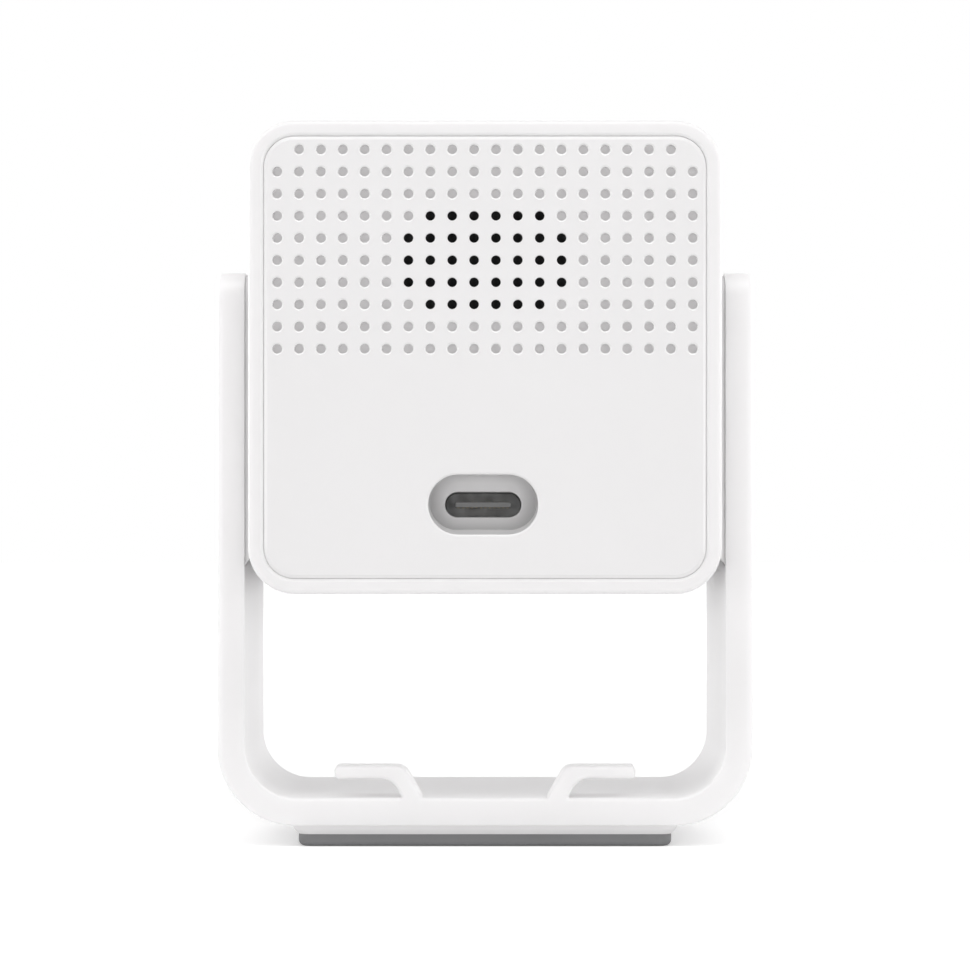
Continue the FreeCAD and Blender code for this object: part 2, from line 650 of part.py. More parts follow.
def pivot_washers():
    piece = Piece("pivot_washers", several=True)
    start = "(stand_width / 2 - cap_seat_deep + spring_high)"
    profile = piece.outline("front").polygon(
        (start, "1.0"), (f"{start} + washer_thick", "1.0"), (f"{start} + washer_thick", "5.4"),
        (start, "5.4"),
    )
    piece.mirror(piece.turn(profile, "H_Axis"))


def pivot_screws():
    piece = Piece("pivot_screws", several=True)
    seat = "(stand_width / 2 - cap_seat_deep + spring_high + washer_thick)"
    shank, head_r, head_high = 0.98, 2.2, 0.6
    profile = piece.outline("front").polygon(
        (f"{seat} - 5.6", "0"), (f"{seat} - 5.6", "0.4"), (f"{seat} - 5", shank), (seat, shank),
        (seat, head_r), (f"{seat} + {head_high} - 0.2", head_r),
        (f"{seat} + {head_high}", f"{head_r} - 0.2"), (f"{seat} + {head_high}", "0.9"),
        (f"{seat} + 0.2", "0.5"), (f"{seat} + 0.2", "0"),
    )
    piece.mirror(piece.turn(profile, "H_Axis"))


# The back panel, with the speaker and the power socket behind it


def back_panel():
    piece = Piece("back_panel")
    outside, inside = "-head_depth / 2", "head_size - 2 * case_wall"
    for gap, start, thick in (
        ("panel_gap", outside, "panel_thick"),
        ("panel_fit", f"{outside} + panel_seam", "panel_thick - panel_seam"),
    ):
        width = f"{inside} - 2 * {gap}"
        plate = piece.outline("front", start).rounded(width, width, f"head_corner - case_wall - {gap}")
        piece.pad(plate, thick)
    piece.fillet("0.25", lambda e: on_level(e, 1, number("head_depth / 2")))
    rooted = f"{outside} + panel_thick / 2"
    boss = piece.outline("front", rooted).stadium("port_long + 3", "port_tall + 3", v="-port_down")
    piece.pad(boss, "port_deep + port_floor - panel_thick / 2")
    recess = piece.outline("front", outside).stadium("port_long", "port_tall", v="-port_down")
    piece.pocket(recess, "port_deep", back=True)
    mouth = piece.outline("front", outside)
    mouth.stadium("socket_long + 0.06", "socket_tall + 0.2", v="-port_down")
    piece.pocket(mouth, "port_deep + port_floor + 0.2", back=True)
    panel_fixings(piece, rooted)
    panel_dots(piece)


def panel_fixings(piece, rooted):
    """Inside the panel: the speaker's rim and bosses, the power board's shelves and the snap arms."""
    rim = piece.outline("front", rooted)
    for extra in ("2.6", "0.2"):
        rim.rounded(f"speaker_long + {extra}", f"speaker_tall + {extra}", "3.2", v="speaker_up")
    piece.pad(rim, "5.2")
    boss_long, clamp_x = 6.4, "13.6"
    bosses = piece.outline("front", rooted).pair("1.9", clamp_x, v="speaker_up")
    piece.pad(bosses, boss_long)
    pilots = piece.outline("front", f"{rooted} + {boss_long}").pair("pilot_r", clamp_x, v="speaker_up")
    piece.pocket(pilots, "4.5")
    shelves = piece.outline("front", rooted)
    shelf_tall, board_under = 2.7, "port_down + socket_tall / 2 + socket_wall + 1"
    for side in ("-1", "1"):
        shelves.rectangle("3.6", shelf_tall, f"{side} * 7.2", f"-({board_under}) - {shelf_tall} / 2")
    piece.pad(shelves, "16.7")
    screw_holes = piece.outline("top", f"-({board_under})").pair("pilot_r", "7.2", v="13")
    piece.pocket(screw_holes, "2.2")
    half = "head_size / 2 - case_wall - panel_gap"
    for thick, level, start, length in (
        (1.2, f"{half} - 0.65", rooted, "5.7"),
        (0.7, f"{half} + 0.05", f"{rooted} + 4.1", "1.2"),
    ):
        arms = piece.outline("front", start)
        for side in ("-1", "1"):
            for way in ("-1", "1"):
                arms.rectangle("8", thick, f"{side} * 12", f"{way} * ({level})")
        piece.pad(arms, length)


def panel_dots(piece):
    """The grid of round dots: all are dimples, and those over the speaker are holes right through."""
    face = "head_depth / 2"
    dimple = (
        (f"{face} + 0.06", "0"), (f"{face} + 0.06", "dot_r + dot_rim + 0.06"),
        (f"{face} - dot_rim", "dot_r"), (f"{face} - dot_deep + 0.15", "dot_r"),
        (f"{face} - dot_deep", "dot_r - 0.2"), (f"{face} - dot_deep", "0"),
    )
    through = (
        (f"{face} + 0.06", "0"), (f"{face} + 0.06", "dot_r"),
        (f"{face} - panel_thick - 0.1", "dot_r"), (f"{face} - panel_thick - 0.1", "0"),
    )
    # Each block of dots: its profile, its first row from the top, its columns, its rows and their spacing.
    blocks = (
        (dimple, 0, 18, 1, 1),
        (dimple, 1, 20, 9, 1),
        (through, 3, 6, 2, 4),
        (through, 4, 8, 3, 1),
    )
    for profile, first_row, columns, rows, row_step in blocks:
        dot = piece.outline(
            "side", f"-{(columns - 1) / 2} * dot_step_x", shift_v=f"dot_top - {first_row} * dot_step_z"
        )
        cut = piece.groove(dot.polygon(*profile), "H_Axis")
        piece.rows(dot, cut, columns, "dot_step_x", rows, f"{row_step} * dot_step_z", flip=("V_Axis",))


def slab(name, width, height, back_at, thick, u="0", v="0", corner=None):
    """A flat piece that faces the lens side, with its back face at back_at."""
    piece = Piece(name)
    outline = piece.outline("front", back_at)
    if corner is None:
        outline.rectangle(width, height, u, v)
    else:
        outline.rounded(width, height, corner, u, v)
    piece.pad(outline, thick)
    return piece


def screws(name, seat, pointing, length, grid, head_r=1.5, head_high=1.0, shank_r=0.75):
    """Pan-head screws along the lens axis, their heads' undersides at seat.

    Pointing is 1 for screws that point ahead and -1 for those that point back. The grid gives the first
    screw's place, the spacings and the counts."""
    (u, v), (step_u, step_v), (count_u, count_v) = grid
    piece = Piece(name, several=True)
    profile = piece.outline("side", u, shift_v=v)
    steps = (
        (-0.5 * head_high, 0), (-0.5 * head_high, 0.4), (-head_high, 0.6), (-head_high, head_r - 0.3),
        (-head_high + 0.3, head_r), (0, head_r), (0, shank_r), (length - 0.5, shank_r),
        (length, 0.3), (length, 0),
    )
    corners = [(f"-({seat}) - {pointing} * ({along})", radius) for along, radius in steps]
    screw = piece.turn(profile.polygon(*corners), "H_Axis")
    piece.rows(profile, screw, count_u, step_u, count_v, step_v)


def speaker_parts():
    back = "-head_depth / 2 + panel_thick"
    long, tall, up = "speaker_long", "speaker_tall", "speaker_up"
    mesh_thick, gasket_thick, frame_deep = 0.1, 0.6, 4.8
    slab("speaker_mesh", f"{long} - 0.8", f"{tall} - 0.8", back, mesh_thick, v=up, corner="3")
    gasket = slab(
        "speaker_gasket", f"{long} - 0.2", f"{tall} - 0.2", f"{back} + {mesh_thick}", gasket_thick,
        v=up, corner="3.1",
    )
    hole = gasket.outline("front", back).rounded(f"{long} - 3.4", f"{tall} - 3.4", "2.6", v=up)
    gasket.pocket(hole, "2", back=True)
    at = f"{back} + {mesh_thick + gasket_thick}"
    frame = slab("speaker_frame", long, tall, at, frame_deep, v=up, corner="3.2")
    cone_seat, cone_room = 1.2, 4.0
    upper = frame.outline("front", at).rounded(f"{long} - 3", f"{tall} - 3", "2.8", v=up)
    frame.pocket(upper, cone_seat, back=True)
    lower = frame.outline("front", at).rounded(f"{long} - 5.2", f"{tall} - 5.2", "2.2", v=up)
    frame.pocket(lower, cone_room, back=True)
    magnet_r, cone_thick = 5.5, 0.4
    frame.pocket(frame.outline("front", at).circle(magnet_r, v=up), f"{frame_deep} + 1", back=True)
    cone = slab(
        "speaker_cone", f"{long} - 3.2", f"{tall} - 3.2", f"{at} + {cone_seat - cone_thick}", cone_thick,
        v=up, corner="2.7",
    )
    dome = cone.outline("front", f"{at} + {cone_seat - cone_thick - 0.5}").circle("3", v=up)
    cone.pad(dome, "0.7")
    magnet = Piece("speaker_magnet")
    body = magnet.outline("front", f"{at} + {cone_room - 0.4}").circle(magnet_r, v=up)
    magnet.pad(body, "3.6")
    magnet.fillet("0.4", lambda e: spans(e)[1] < 1e-3, kind="Chamfer")
    speaker_clamp(f"{at} + {frame_deep}", magnet_r + 0.1)


def speaker_clamp(at, hole_r):
    """The plate that holds the speaker down on its gasket."""
    clamp_x, clamp_thick = "13.6", 1.0
    clamp = slab("speaker_clamp", "31", "13.4", at, clamp_thick, v="speaker_up", corner="5")
    holes = clamp.outline("front", at).circle(hole_r, v="speaker_up")
    holes.pair("0.95", clamp_x, v="speaker_up")
    clamp.pocket(holes, "2", back=True)
    grid = ((f"-{clamp_x}", "speaker_up"), (f"2 * {clamp_x}", "1"), (2, 1))
    screws("clamp_screws", f"{at} + {clamp_thick}", -1, 5, grid)


def power_socket():
    """The standard power socket on its own small board."""
    start = "(-head_depth / 2 + port_deep + port_floor + 0.05)"
    shell_long, down = 7.3, "-port_down"
    shell = Piece("usb_shell")
    outer = shell.outline("front", start)
    outer.stadium("socket_long + 2 * socket_wall", "socket_tall + 2 * socket_wall", v=down)
    shell.pad(outer, shell_long)
    inner = shell.outline("front", start).stadium("socket_long", "socket_tall", v=down)
    shell.pocket(inner, f"{shell_long} - socket_wall", back=True)
    tongue_long = 6.6
    slab(
        "usb_tongue", "6.69", "0.7", f"{start} + {shell_long - tongue_long} - socket_wall", tongue_long,
        v=down, corner="0.2",
    )
    board = Piece("usb_board")
    top = "(-port_down - socket_tall / 2 - socket_wall)"
    board_thick, screw_x, screw_y = 1.0, "7.2", "13"
    plate = board.outline("top", f"{top} - {board_thick}").rounded("18", "14.8", "0.8", v="15.8")
    board.pad(plate, board_thick)
    board.pocket(board.outline("top", top).pair("0.95", screw_x, v=screw_y), "2")
    usb_screws = Piece("usb_screws", several=True)
    profile = usb_screws.outline("side", f"-{screw_x}", shift_u=screw_y)
    profile.polygon(
        ("0", f"{top} + 0.5"), ("0.4", f"{top} + 0.5"), ("0.6", f"{top} + 0.9"), ("1.2", f"{top} + 0.9"),
        ("1.5", f"{top} + 0.6"), ("1.5", top), ("0.75", top), ("0.75", f"{top} - 2.4"),
        ("0.3", f"{top} - 3"), ("0", f"{top} - 3"),
    )
    screw = usb_screws.turn(profile)
    usb_screws.rows(profile, screw, 2, f"2 * {screw_x}")


# The lens, its window and the boards


def about_lens(name, *points, u="0", v="0"):
    """A piece turned about a line parallel to the lens axis; each point is (ahead, radius)."""
    piece = Piece(name)
    profile = piece.outline("side", u, shift_v=v)
    piece.turn(profile.polygon(*[(f"-({ahead})", radius) for ahead, radius in points]), "H_Axis")
    return piece


def front_parts():
    """What is seen from the lens side: the dark window, its ring and the lens barrel behind it."""
    seat, face = "case_front - window_sunk - window_thick", "case_front - window_sunk"
    soft = 0.2
    about_lens(
        "front_window",
        (seat, "window_hole_r"), (seat, "window_r"), (f"{face} - {soft}", "window_r"),
        (face, f"window_r - {soft}"), (face, f"window_hole_r + {soft}"),
        (f"{face} - {soft}", "window_hole_r"),
    )
    ring_face = "head_depth / 2"
    about_lens(
        "front_ring",
        (seat, "window_r + 0.05"), (seat, "ring_r"), (f"{ring_face} - 0.3", "ring_r"),
        (ring_face, "ring_r - 0.3"), (ring_face, "window_r + 0.3"),
        (f"{face} + 0.1", "window_r + 0.05"),
    )
    about_lens(
        "lens_barrel",
        (9.4, 4.2), (9.4, "barrel_r"), (22.6, "barrel_r"), (22.6, "barrel_face_r"),
        (25.1, "barrel_face_r"), (25.4, "barrel_face_r - 0.3"), (25.4, 5.9), (24.2, 5.25),
        (20.4, 5.25), (20.4, 3.2), (11.4, 3.2), (11.4, 4.2),
    )
    about_lens(
        "light_baffle",
        (21.2, "barrel_face_r + 0.05"), (21.2, 8.4), (seat, 8.4), (seat, "barrel_face_r + 0.05"),
    )
    lens("front_lens", 5.2, 20.4, 24.8, 7.2, 1)
    lens("rear_lens", 4.15, 9.6, 11.4, 8.0, -1)


def lens(name, radius, start, end, bulge_r, bulge_way):
    """A glass element: a disc from start to end cut by a sphere that touches its bulging side."""
    ahead = FreeCAD.Rotation(Vector(1, 0, 0), 90)
    disc = document.addObject("Part::Cylinder", f"{name}_disc")
    disc.Radius, disc.Height = radius, end - start
    disc.Placement = FreeCAD.Placement(Vector(0, -start, 0), ahead)
    ball = document.addObject("Part::Sphere", f"{name}_ball")
    ball.Radius = bulge_r
    centre = end - bulge_r if bulge_way > 0 else start + bulge_r
    ball.Placement.Base = Vector(0, -centre, 0)
    glass = document.addObject("Part::MultiCommon", name)
    glass.Label = name
    glass.Shapes = [disc, ball]
    bind(glass, "Placement.Base.z", "pivot_height")
    Piece.made.append(check(glass))


def lens_mount():
    """The block that holds the lens barrel over the image sensor and guides the filter tray."""
    front, tube_end = 9.5, 15.5
    slot_at, slot_wide = 7.4, 0.9
    piece = slab("lens_mount", "20", "20", "board_front", f"{front} - board_front", corner="1.2")
    ears = piece.outline("front", "board_front").rounded("28", "6", "2.5")
    piece.pad(ears, "2")
    piece.pad(piece.outline("front", f"{front} - 0.5").circle("8"), f"{tube_end - front} + 0.5")
    piece.pocket(piece.outline("front", tube_end).circle("barrel_r + 0.04"), "6.5")
    well = piece.outline("front", "board_front").rectangle("12", "7.2")
    piece.pocket(well, "5.1", back=True)
    coil_room = piece.outline("front", "board_front").rectangle("9", "4.4", v="7.2")
    piece.pocket(coil_room, "4.7", back=True)
    slot = piece.outline("side").rectangle(slot_wide, "8.1", u=f"-{slot_at}")
    piece.pocket(slot, both=True)
    tab_way = piece.outline("front", f"{slot_at} + {slot_wide} / 2").rectangle("9", "1.4", v="4.6")
    piece.pocket(tab_way, slot_wide)
    piece.pocket(piece.outline("front", "board_front").pair("pilot_r", "12.2"), "1.7", back=True)
    grid = (("-12.2", "0"), ("24.4", "1"), (2, 1))
    screws("mount_screws", "board_front - board_thick", 1, 2.8, grid, head_r=1.3)


def filter_parts():
    """The sliding tray with an infrared-cut glass and a clear glass, and the coil that drives it."""
    tray_back, tray_thick = 7.0, 0.8
    middle, glass_thick = "filter_step / 2", 0.38
    tray = slab("filter_tray", "11.2", "8", tray_back, tray_thick, u=middle)
    tray.pad(tray.outline("front", tray_back).rectangle("1.6", "1.2", middle, "4.4"), tray_thick)
    seat_at = tray_back + tray_thick
    for side, name in (("-1", "ir_cut_glass"), ("1", "clear_glass")):
        place = f"{middle} + {side} * filter_step / 2"
        tray.pocket(tray.outline("front", seat_at).rectangle("4.2", "5.4", u=place), "1")
        tray.pocket(tray.outline("front", seat_at).rectangle("5", "6.4", u=place), "0.4")
        slab(name, "4.96", "6.36", seat_at - 0.4, glass_thick, u=place)
    slab("filter_coil", "8.4", "3.8", "board_front", "4.4", v="7.2", corner="0.6")
    slab("image_sensor", "8.5", "6.4", "board_front", "1")


def main_board_parts():
    board_back = "(board_front - board_thick)"
    board = slab("main_board", "board_size", "board_size", board_back, "board_thick", corner="1.5")
    for width, height, u, v in (("6", "6", "-15", "9"), ("7", "5", "14.5", "9.5"), ("5", "8", "-15.5", "-8")):
        board.pad(board.outline("front", "board_front - 0.2").rectangle(width, height, u, v), "1.1")
    holes = board.outline("front", board_back).four("1.1", "standoff_x", "standoff_z")
    holes.pair("0.95", "12.2").four("0.95", "15.8", "14.5")
    board.pocket(holes, "5", back=True)
    shield_high, pad_thick, base_thick = 1.8, 0.8, 1.5
    slab("soc_shield", "18", "18", f"{board_back} - {shield_high}", shield_high, corner="0.5")
    pad_at = f"{board_back} - {shield_high + pad_thick}"
    slab("thermal_pad", "14", "14", pad_at, pad_thick)
    sink_at = f"{pad_at} - {base_thick}"
    sink = slab("heat_sink", "36", "36", sink_at, base_thick, corner="1")
    fin_step, fin_count = 4.2, 7
    fin = sink.outline("front", f"{sink_at} - 6").rectangle("1.2", "36", u=-fin_step * (fin_count - 1) / 2)
    sink.rows(fin, sink.pad(fin, "6.2"), fin_count, fin_step, axes=("H_Axis", "V_Axis"))
    sink.pocket(sink.outline("front", sink_at).four("0.95", "15.8", "14.5"), "3", back=True)
    grid = (("-15.8", "-14.5"), ("31.6", "29"), (2, 2))
    screws("heat_sink_screws", sink_at, 1, 6.2, grid, head_r=1.4)
    grid = (("-standoff_x", "-standoff_z"), ("2 * standoff_x", "2 * standoff_z"), (2, 2))
    screws("board_screws", board_back, 1, 6, grid)


def inner_frame():
    """The plastic frame that joins the case's pillars, the main board and the infrared board."""
    thick, post_r = 1.6, "1.2"
    back = f"(frame_front - {thick})"
    piece = slab("inner_frame", "44", "44", back, thick, corner="1.5")
    posts = piece.outline("front", "frame_front - 0.2")
    pins = piece.outline("front", "light_board - 0.2")
    for u, v in (("13.2", "0"), ("-13.2", "0"), ("0", "13.2")):
        posts.circle(post_r, u, v)
        pins.circle("0.7", u, v)
    piece.pad(posts, "light_board - frame_front + 0.2")
    piece.pad(pins, "1.6")
    standoffs = piece.outline("front", "board_front").four("2.2", "standoff_x", "standoff_z")
    piece.pad(standoffs, f"{back} - board_front + 0.2")
    openings = piece.outline("front", "frame_front").circle("9.4").rectangle("10", "3.4", v="-15.2")
    openings.four("1.05", "pillar_at", "pillar_at")
    piece.pocket(openings, f"{thick} + 0.5")
    pilots = piece.outline("front", "board_front").four("pilot_r", "standoff_x", "standoff_z")
    piece.pocket(pilots, "6", back=True)
    grid = (("-pillar_at", "-pillar_at"), ("2 * pillar_at", "2 * pillar_at"), (2, 2))
    screws("frame_screws", back, 1, 5.4, grid)


def light_board_parts():
    """The infrared board round the lens, with its lights, the status light and the microphone."""
    board_thick, led_ring_r = 1.0, 11.7
    face = f"(light_board + {board_thick})"
    board = Piece("led_board")
    board.pad(board.outline("front", "light_board").circle("15").circle("8.6"), board_thick)
    board.pad(board.outline("front", "light_board").rectangle("14", "11", v="-17.5"), board_thick)
    holes = board.outline("front", "light_board").pair("0.75", "13.2").circle("0.75", "0", "13.2")
    board.pocket(holes, "2", back=True)
    leds = Piece("ir_leds", several=True)
    first = math.radians(22.5)
    led = leds.outline("side", led_ring_r * math.cos(first), shift_v=led_ring_r * math.sin(first))
    profile = ((0, 0), (0, 1.5), (0.6, 1.5), (0.6, 1.1), (1.2, 1.05), (1.6, 0.75), (1.8, 0.35), (1.8, 0))
    led.polygon(*[(f"-{face} - {ahead}", radius) for ahead, radius in profile])
    leds.polar(leds.turn(led, "H_Axis"), 8)
    slab("status_led", "1.6", "1.2", face, "0.6", u="-signal_x", v="-signal_down")
    wall_in = "case_front - front_wall"
    about_lens(
        "light_pipe",
        (21.8, 0), (21.8, 0.8), (f"{wall_in} - 1", 0.8), (f"{wall_in} - 1", 1.4), (wall_in, 1.4),
        (wall_in, 0.8), ("case_front - 0.1", 0.8), ("case_front", 0.7), ("case_front", 0),
        u="-signal_x", v="-signal_down",
    )
    slab("microphone", "3", "2", face, "0.9", u="signal_x", v="-signal_down")
    boot = slab(
        "mic_boot", "4.6", "3.6", face, f"{wall_in} - {face}", u="signal_x", v="-signal_down", corner="0.8"
    )
    room = boot.outline("front", face).rectangle("3.04", "2.04", u="signal_x", v="-signal_down")
    boot.pocket(room, "0.95", back=True)
    sound_way = boot.outline("front", face).circle("0.45", "signal_x", "-signal_down")
    boot.pocket(sound_way, "4", back=True)


# The leads, the antenna and the reset button


def strip(piece, width, shift, *points):
    """A flat lead that follows the points (ahead, up) and is as wide as given across."""
    along, up = shift
    there = [(f"-({a})", z) for a, z in points]
    back_again = [(f"-({a + along})", z + up) for a, z in reversed(points)]
    piece.pad(piece.outline("side").polygon(*there, *back_again), width, both=True)


def leads():
    ribbon = Piece("ribbon_cable")
    strip(ribbon, "8", (0, 0.3), (4.6, -15.3), (8, -15.3), (12, -16.2), (16, -15.3), (19.4, -15.3))
    for at, length in ((4.0, 1.2), (18.8, 1.2)):
        ribbon.pad(ribbon.outline("front", at).rectangle("9", "2.6", v="-15.2"), length)
    power = Piece("power_cable")
    strip(power, "5", (0.35, 0.35), (-10, -17.2), (-8.4, -17.2), (-8.1, -18.4), (-7.6, -19.6), (2.3, -19.6))
    power.pad(power.outline("front", -11.6).rectangle("6", "1.6", v="-16.95"), "2.4")
    power.pad(power.outline("front", 1.6).rectangle("6", "2", v="-19.5"), "1.2")
    antenna = Piece("wifi_antenna")
    under_roof = "head_size / 2 - case_wall"
    antenna.pad(antenna.outline("top", f"{under_roof} - 0.3").rounded("24", "8", "1", v="12"), "0.3")
    coax = Piece("antenna_cable")
    strip(coax, "0.8", (0.5, 0.5), (-10, 23.4), (-6, 23.2), (-1, 21.8), (1.2, 20.4), (1.3, 19.6))
    coax.pad(coax.outline("front", 1.2).rectangle("1.8", "1.8", v="20"), "1.6")


def reset_button_parts():
    """The small button in the head's underside and the switch that it presses."""
    switch_low, switch_tall, stem_top = -21.6, 3.6, -22.0
    wall_in = "(-head_size / 2 + case_wall)"
    switch = slab("tact_switch", "6", switch_tall, "board_front", "3.6", v=switch_low + switch_tall / 2)
    bore = switch.outline("top", switch_low).circle("1", v="-button_ahead")
    switch.pocket(bore, "1.4", back=True)
    plunger = Piece("switch_plunger")
    plunger.pad(plunger.outline("top", stem_top).circle("0.95", v="-button_ahead"), "1.1")
    button = Piece("reset_button")
    profile = button.outline("side", shift_u="-button_ahead").polygon(
        ("0", f"{wall_in} - 1.55"), ("button_r - 0.2", f"{wall_in} - 1.55"),
        ("button_r", f"{wall_in} - 1.35"), ("button_r", f"{wall_in} + 0.05"),
        ("button_r + 1", f"{wall_in} + 0.05"), ("button_r + 1", f"{wall_in} + 0.8"),
        ("1.1", f"{wall_in} + 0.8"), ("1.1", stem_top), ("0", stem_top),
    )
    button.turn(profile)


def build_all():
    stand_bracket()
    base_plate()
    base_foot()
    base_screws()
    for name, turned in (("right", False), ("left", True)):
        pivot_bush(f"{name}_bush", turned)
        pivot_cap(f"{name}_pivot_cap", turned)
        pivot_hub(f"{name}_pivot_hub", turned)
    disc_springs()
    pivot_washers()
    pivot_screws()
    head_shell()
    back_panel()
    speaker_parts()
    power_socket()
    front_parts()
    lens_mount()
    filter_parts()
    main_board_parts()
    inner_frame()
    light_board_parts()
    leads()
    reset_button_parts()


def write_steps():
    """Checks the whole document once more, then writes one file for each piece."""
    document.recompute()
    for thing in document.Objects:
        if {"Invalid", "Error"} & set(thing.State):
            raise RuntimeError(f"{thing.Label} is not valid")
    os.makedirs("parts", exist_ok=True)
    for piece in Piece.made:
        shape = piece.Shape
        if shape.isNull() or not shape.isValid():
            raise RuntimeError(f"{piece.Label} has no valid shape")
        shape.exportStep(f"parts/{piece.Label}.step")
        box = shape.BoundBox
        print(f"{piece.Label}: {len(shape.Solids)} solids, {box.XLength:.2f} x {box.YLength:.2f} x {box.ZLength:.2f}")


fill_sheet()
build_all()
write_steps()
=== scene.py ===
# %% [markdown]
# # A small indoor pet camera, seen from the back
#
# The object is a cube-shaped camera head that tilts between the two arms of a U-shaped stand. Nearly all of
# it is injection-moulded plastic, so its looks come from a few things done well: exact roundings on every
# edge, the seams between the mouldings, the grid of dots in the back panel, and a fine matt finish.
#
# The construction is already there as a fixed frame of sixty parts at their real size. This lesson makes
# the visible parts again as clean surfaces, each worked out with numpy, and gives every part its finish.

import json
import math

import bpy
import numpy as np
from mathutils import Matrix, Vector
from mathutils.geometry import delaunay_2d_cdt


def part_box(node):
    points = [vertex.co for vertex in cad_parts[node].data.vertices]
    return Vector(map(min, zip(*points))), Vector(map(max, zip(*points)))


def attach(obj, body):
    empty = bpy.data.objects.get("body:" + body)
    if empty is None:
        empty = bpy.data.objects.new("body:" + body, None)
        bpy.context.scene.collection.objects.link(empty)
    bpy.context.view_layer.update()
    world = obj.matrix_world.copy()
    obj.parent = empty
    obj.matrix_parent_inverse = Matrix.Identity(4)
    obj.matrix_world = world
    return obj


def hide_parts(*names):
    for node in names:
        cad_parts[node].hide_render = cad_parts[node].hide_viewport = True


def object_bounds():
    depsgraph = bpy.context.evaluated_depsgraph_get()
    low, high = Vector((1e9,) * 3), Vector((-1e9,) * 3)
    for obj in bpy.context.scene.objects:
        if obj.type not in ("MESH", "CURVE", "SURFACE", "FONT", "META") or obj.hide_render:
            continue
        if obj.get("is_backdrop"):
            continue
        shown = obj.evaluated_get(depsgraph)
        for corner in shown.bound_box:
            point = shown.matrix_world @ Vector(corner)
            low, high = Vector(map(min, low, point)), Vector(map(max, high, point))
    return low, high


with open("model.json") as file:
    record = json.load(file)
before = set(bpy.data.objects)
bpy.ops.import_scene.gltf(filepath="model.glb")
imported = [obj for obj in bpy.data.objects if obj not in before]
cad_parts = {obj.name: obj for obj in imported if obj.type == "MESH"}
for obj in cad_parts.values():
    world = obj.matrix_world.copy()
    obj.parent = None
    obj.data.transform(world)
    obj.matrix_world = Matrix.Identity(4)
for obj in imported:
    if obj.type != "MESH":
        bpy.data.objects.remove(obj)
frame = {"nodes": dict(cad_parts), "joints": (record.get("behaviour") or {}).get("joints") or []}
cad_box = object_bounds()
print("the frame measures", np.round((np.array(cad_box[1]) - np.array(cad_box[0])) * 1000, 2), "mm")

# %% [markdown]
# ## Sizes
#
# A mould maker thinks in millimetres, and so does this file: everything is drawn in millimetres, and only
# the finished mesh is written in metres. X runs across the arms, Y points to the back of the camera and Z
# up. The large sizes are read from the frame, so the looks can't drift away from the construction.

# %% Sizes read from the frame
MM = 0.001


def extent(node):
    """The lowest and highest corner of a part of the frame, in millimetres."""
    low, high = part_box(node)
    return np.array(low) / MM, np.array(high) / MM


shell_low, shell_high = extent("head_shell")
stand_low, stand_high = extent("stand_bracket")

PIVOT_Z = next(joint["pos_m"][2] for joint in frame["joints"] if joint["name"] == "head_tilt") / MM
HEAD = shell_high[2] - shell_low[2]
CASE_FRONT, CASE_BACK = -shell_low[1], shell_high[1]
ARM_OUT, ARM_TOP, BAND_HALF = stand_high[0], stand_high[2], stand_high[1]
BAND_UNDER, FOOT_TOP = stand_low[2], extent("base_plate")[0][2]
print(f"head {HEAD:.1f} mm square, {CASE_FRONT + CASE_BACK:.1f} mm deep, pivot at {PIVOT_Z:.1f} mm")
print(f"stand {2 * ARM_OUT:.1f} mm wide, {2 * BAND_HALF:.1f} mm deep, arms up to {ARM_TOP:.1f} mm")

# %% [markdown]
# ## The camera that takes the picture
#
# The view is square on to the camera's back, from a third of a metre away, at a height just above the lower
# edge of the head. From there the floor of the stand shows as a thin strip, and the sides of the head don't
# show at all. A lens shift lifts the picture's middle to the middle of the object, which keeps the upright
# edges upright, as a product photographer does with a shift lens.

# %% Camera
VIEW_DISTANCE, VIEW_HEIGHT = 360.0, 35.95
FOCAL_LENGTH, SENSOR_WIDTH, SHIFT_UP, PICTURE_WIDE, CLIP_START = 112.7, 36.0, 0.0468, 970, 10.0

lens_data = bpy.data.cameras.new("photo_camera")
camera = bpy.data.objects.new("photo_camera", lens_data)
bpy.context.scene.collection.objects.link(camera)
bpy.context.scene.camera = camera
camera.location = (0.0, VIEW_DISTANCE * MM, VIEW_HEIGHT * MM)
camera.rotation_euler = (math.pi / 2, 0.0, math.pi)
lens_data.lens, lens_data.sensor_width, lens_data.shift_y = FOCAL_LENGTH, SENSOR_WIDTH, SHIFT_UP
lens_data.clip_start = CLIP_START * MM
bpy.context.scene.view_settings.view_transform = "Standard"
pixels = PICTURE_WIDE * FOCAL_LENGTH / SENSOR_WIDTH / (VIEW_DISTANCE - CASE_BACK)
print(f"one millimetre at the back panel is {pixels:.2f} pixels")

# %% [markdown]
# ## Writing a finish down
#
# A finish in Blender is a small network of nodes: some say where on the part we are, some turn that into a
# number or a colour, and a shader takes it all. A network that is clicked together is hard to read back, and
# so is code with a line for every node and every link. Here a node is added and joined in one go: what it
# is given is a plain value, or the socket in which another chain ends.

# %% Recipes of nodes
NOISE_RANGE = (0.3, 0.7)       # nearly all of the noise lies between these


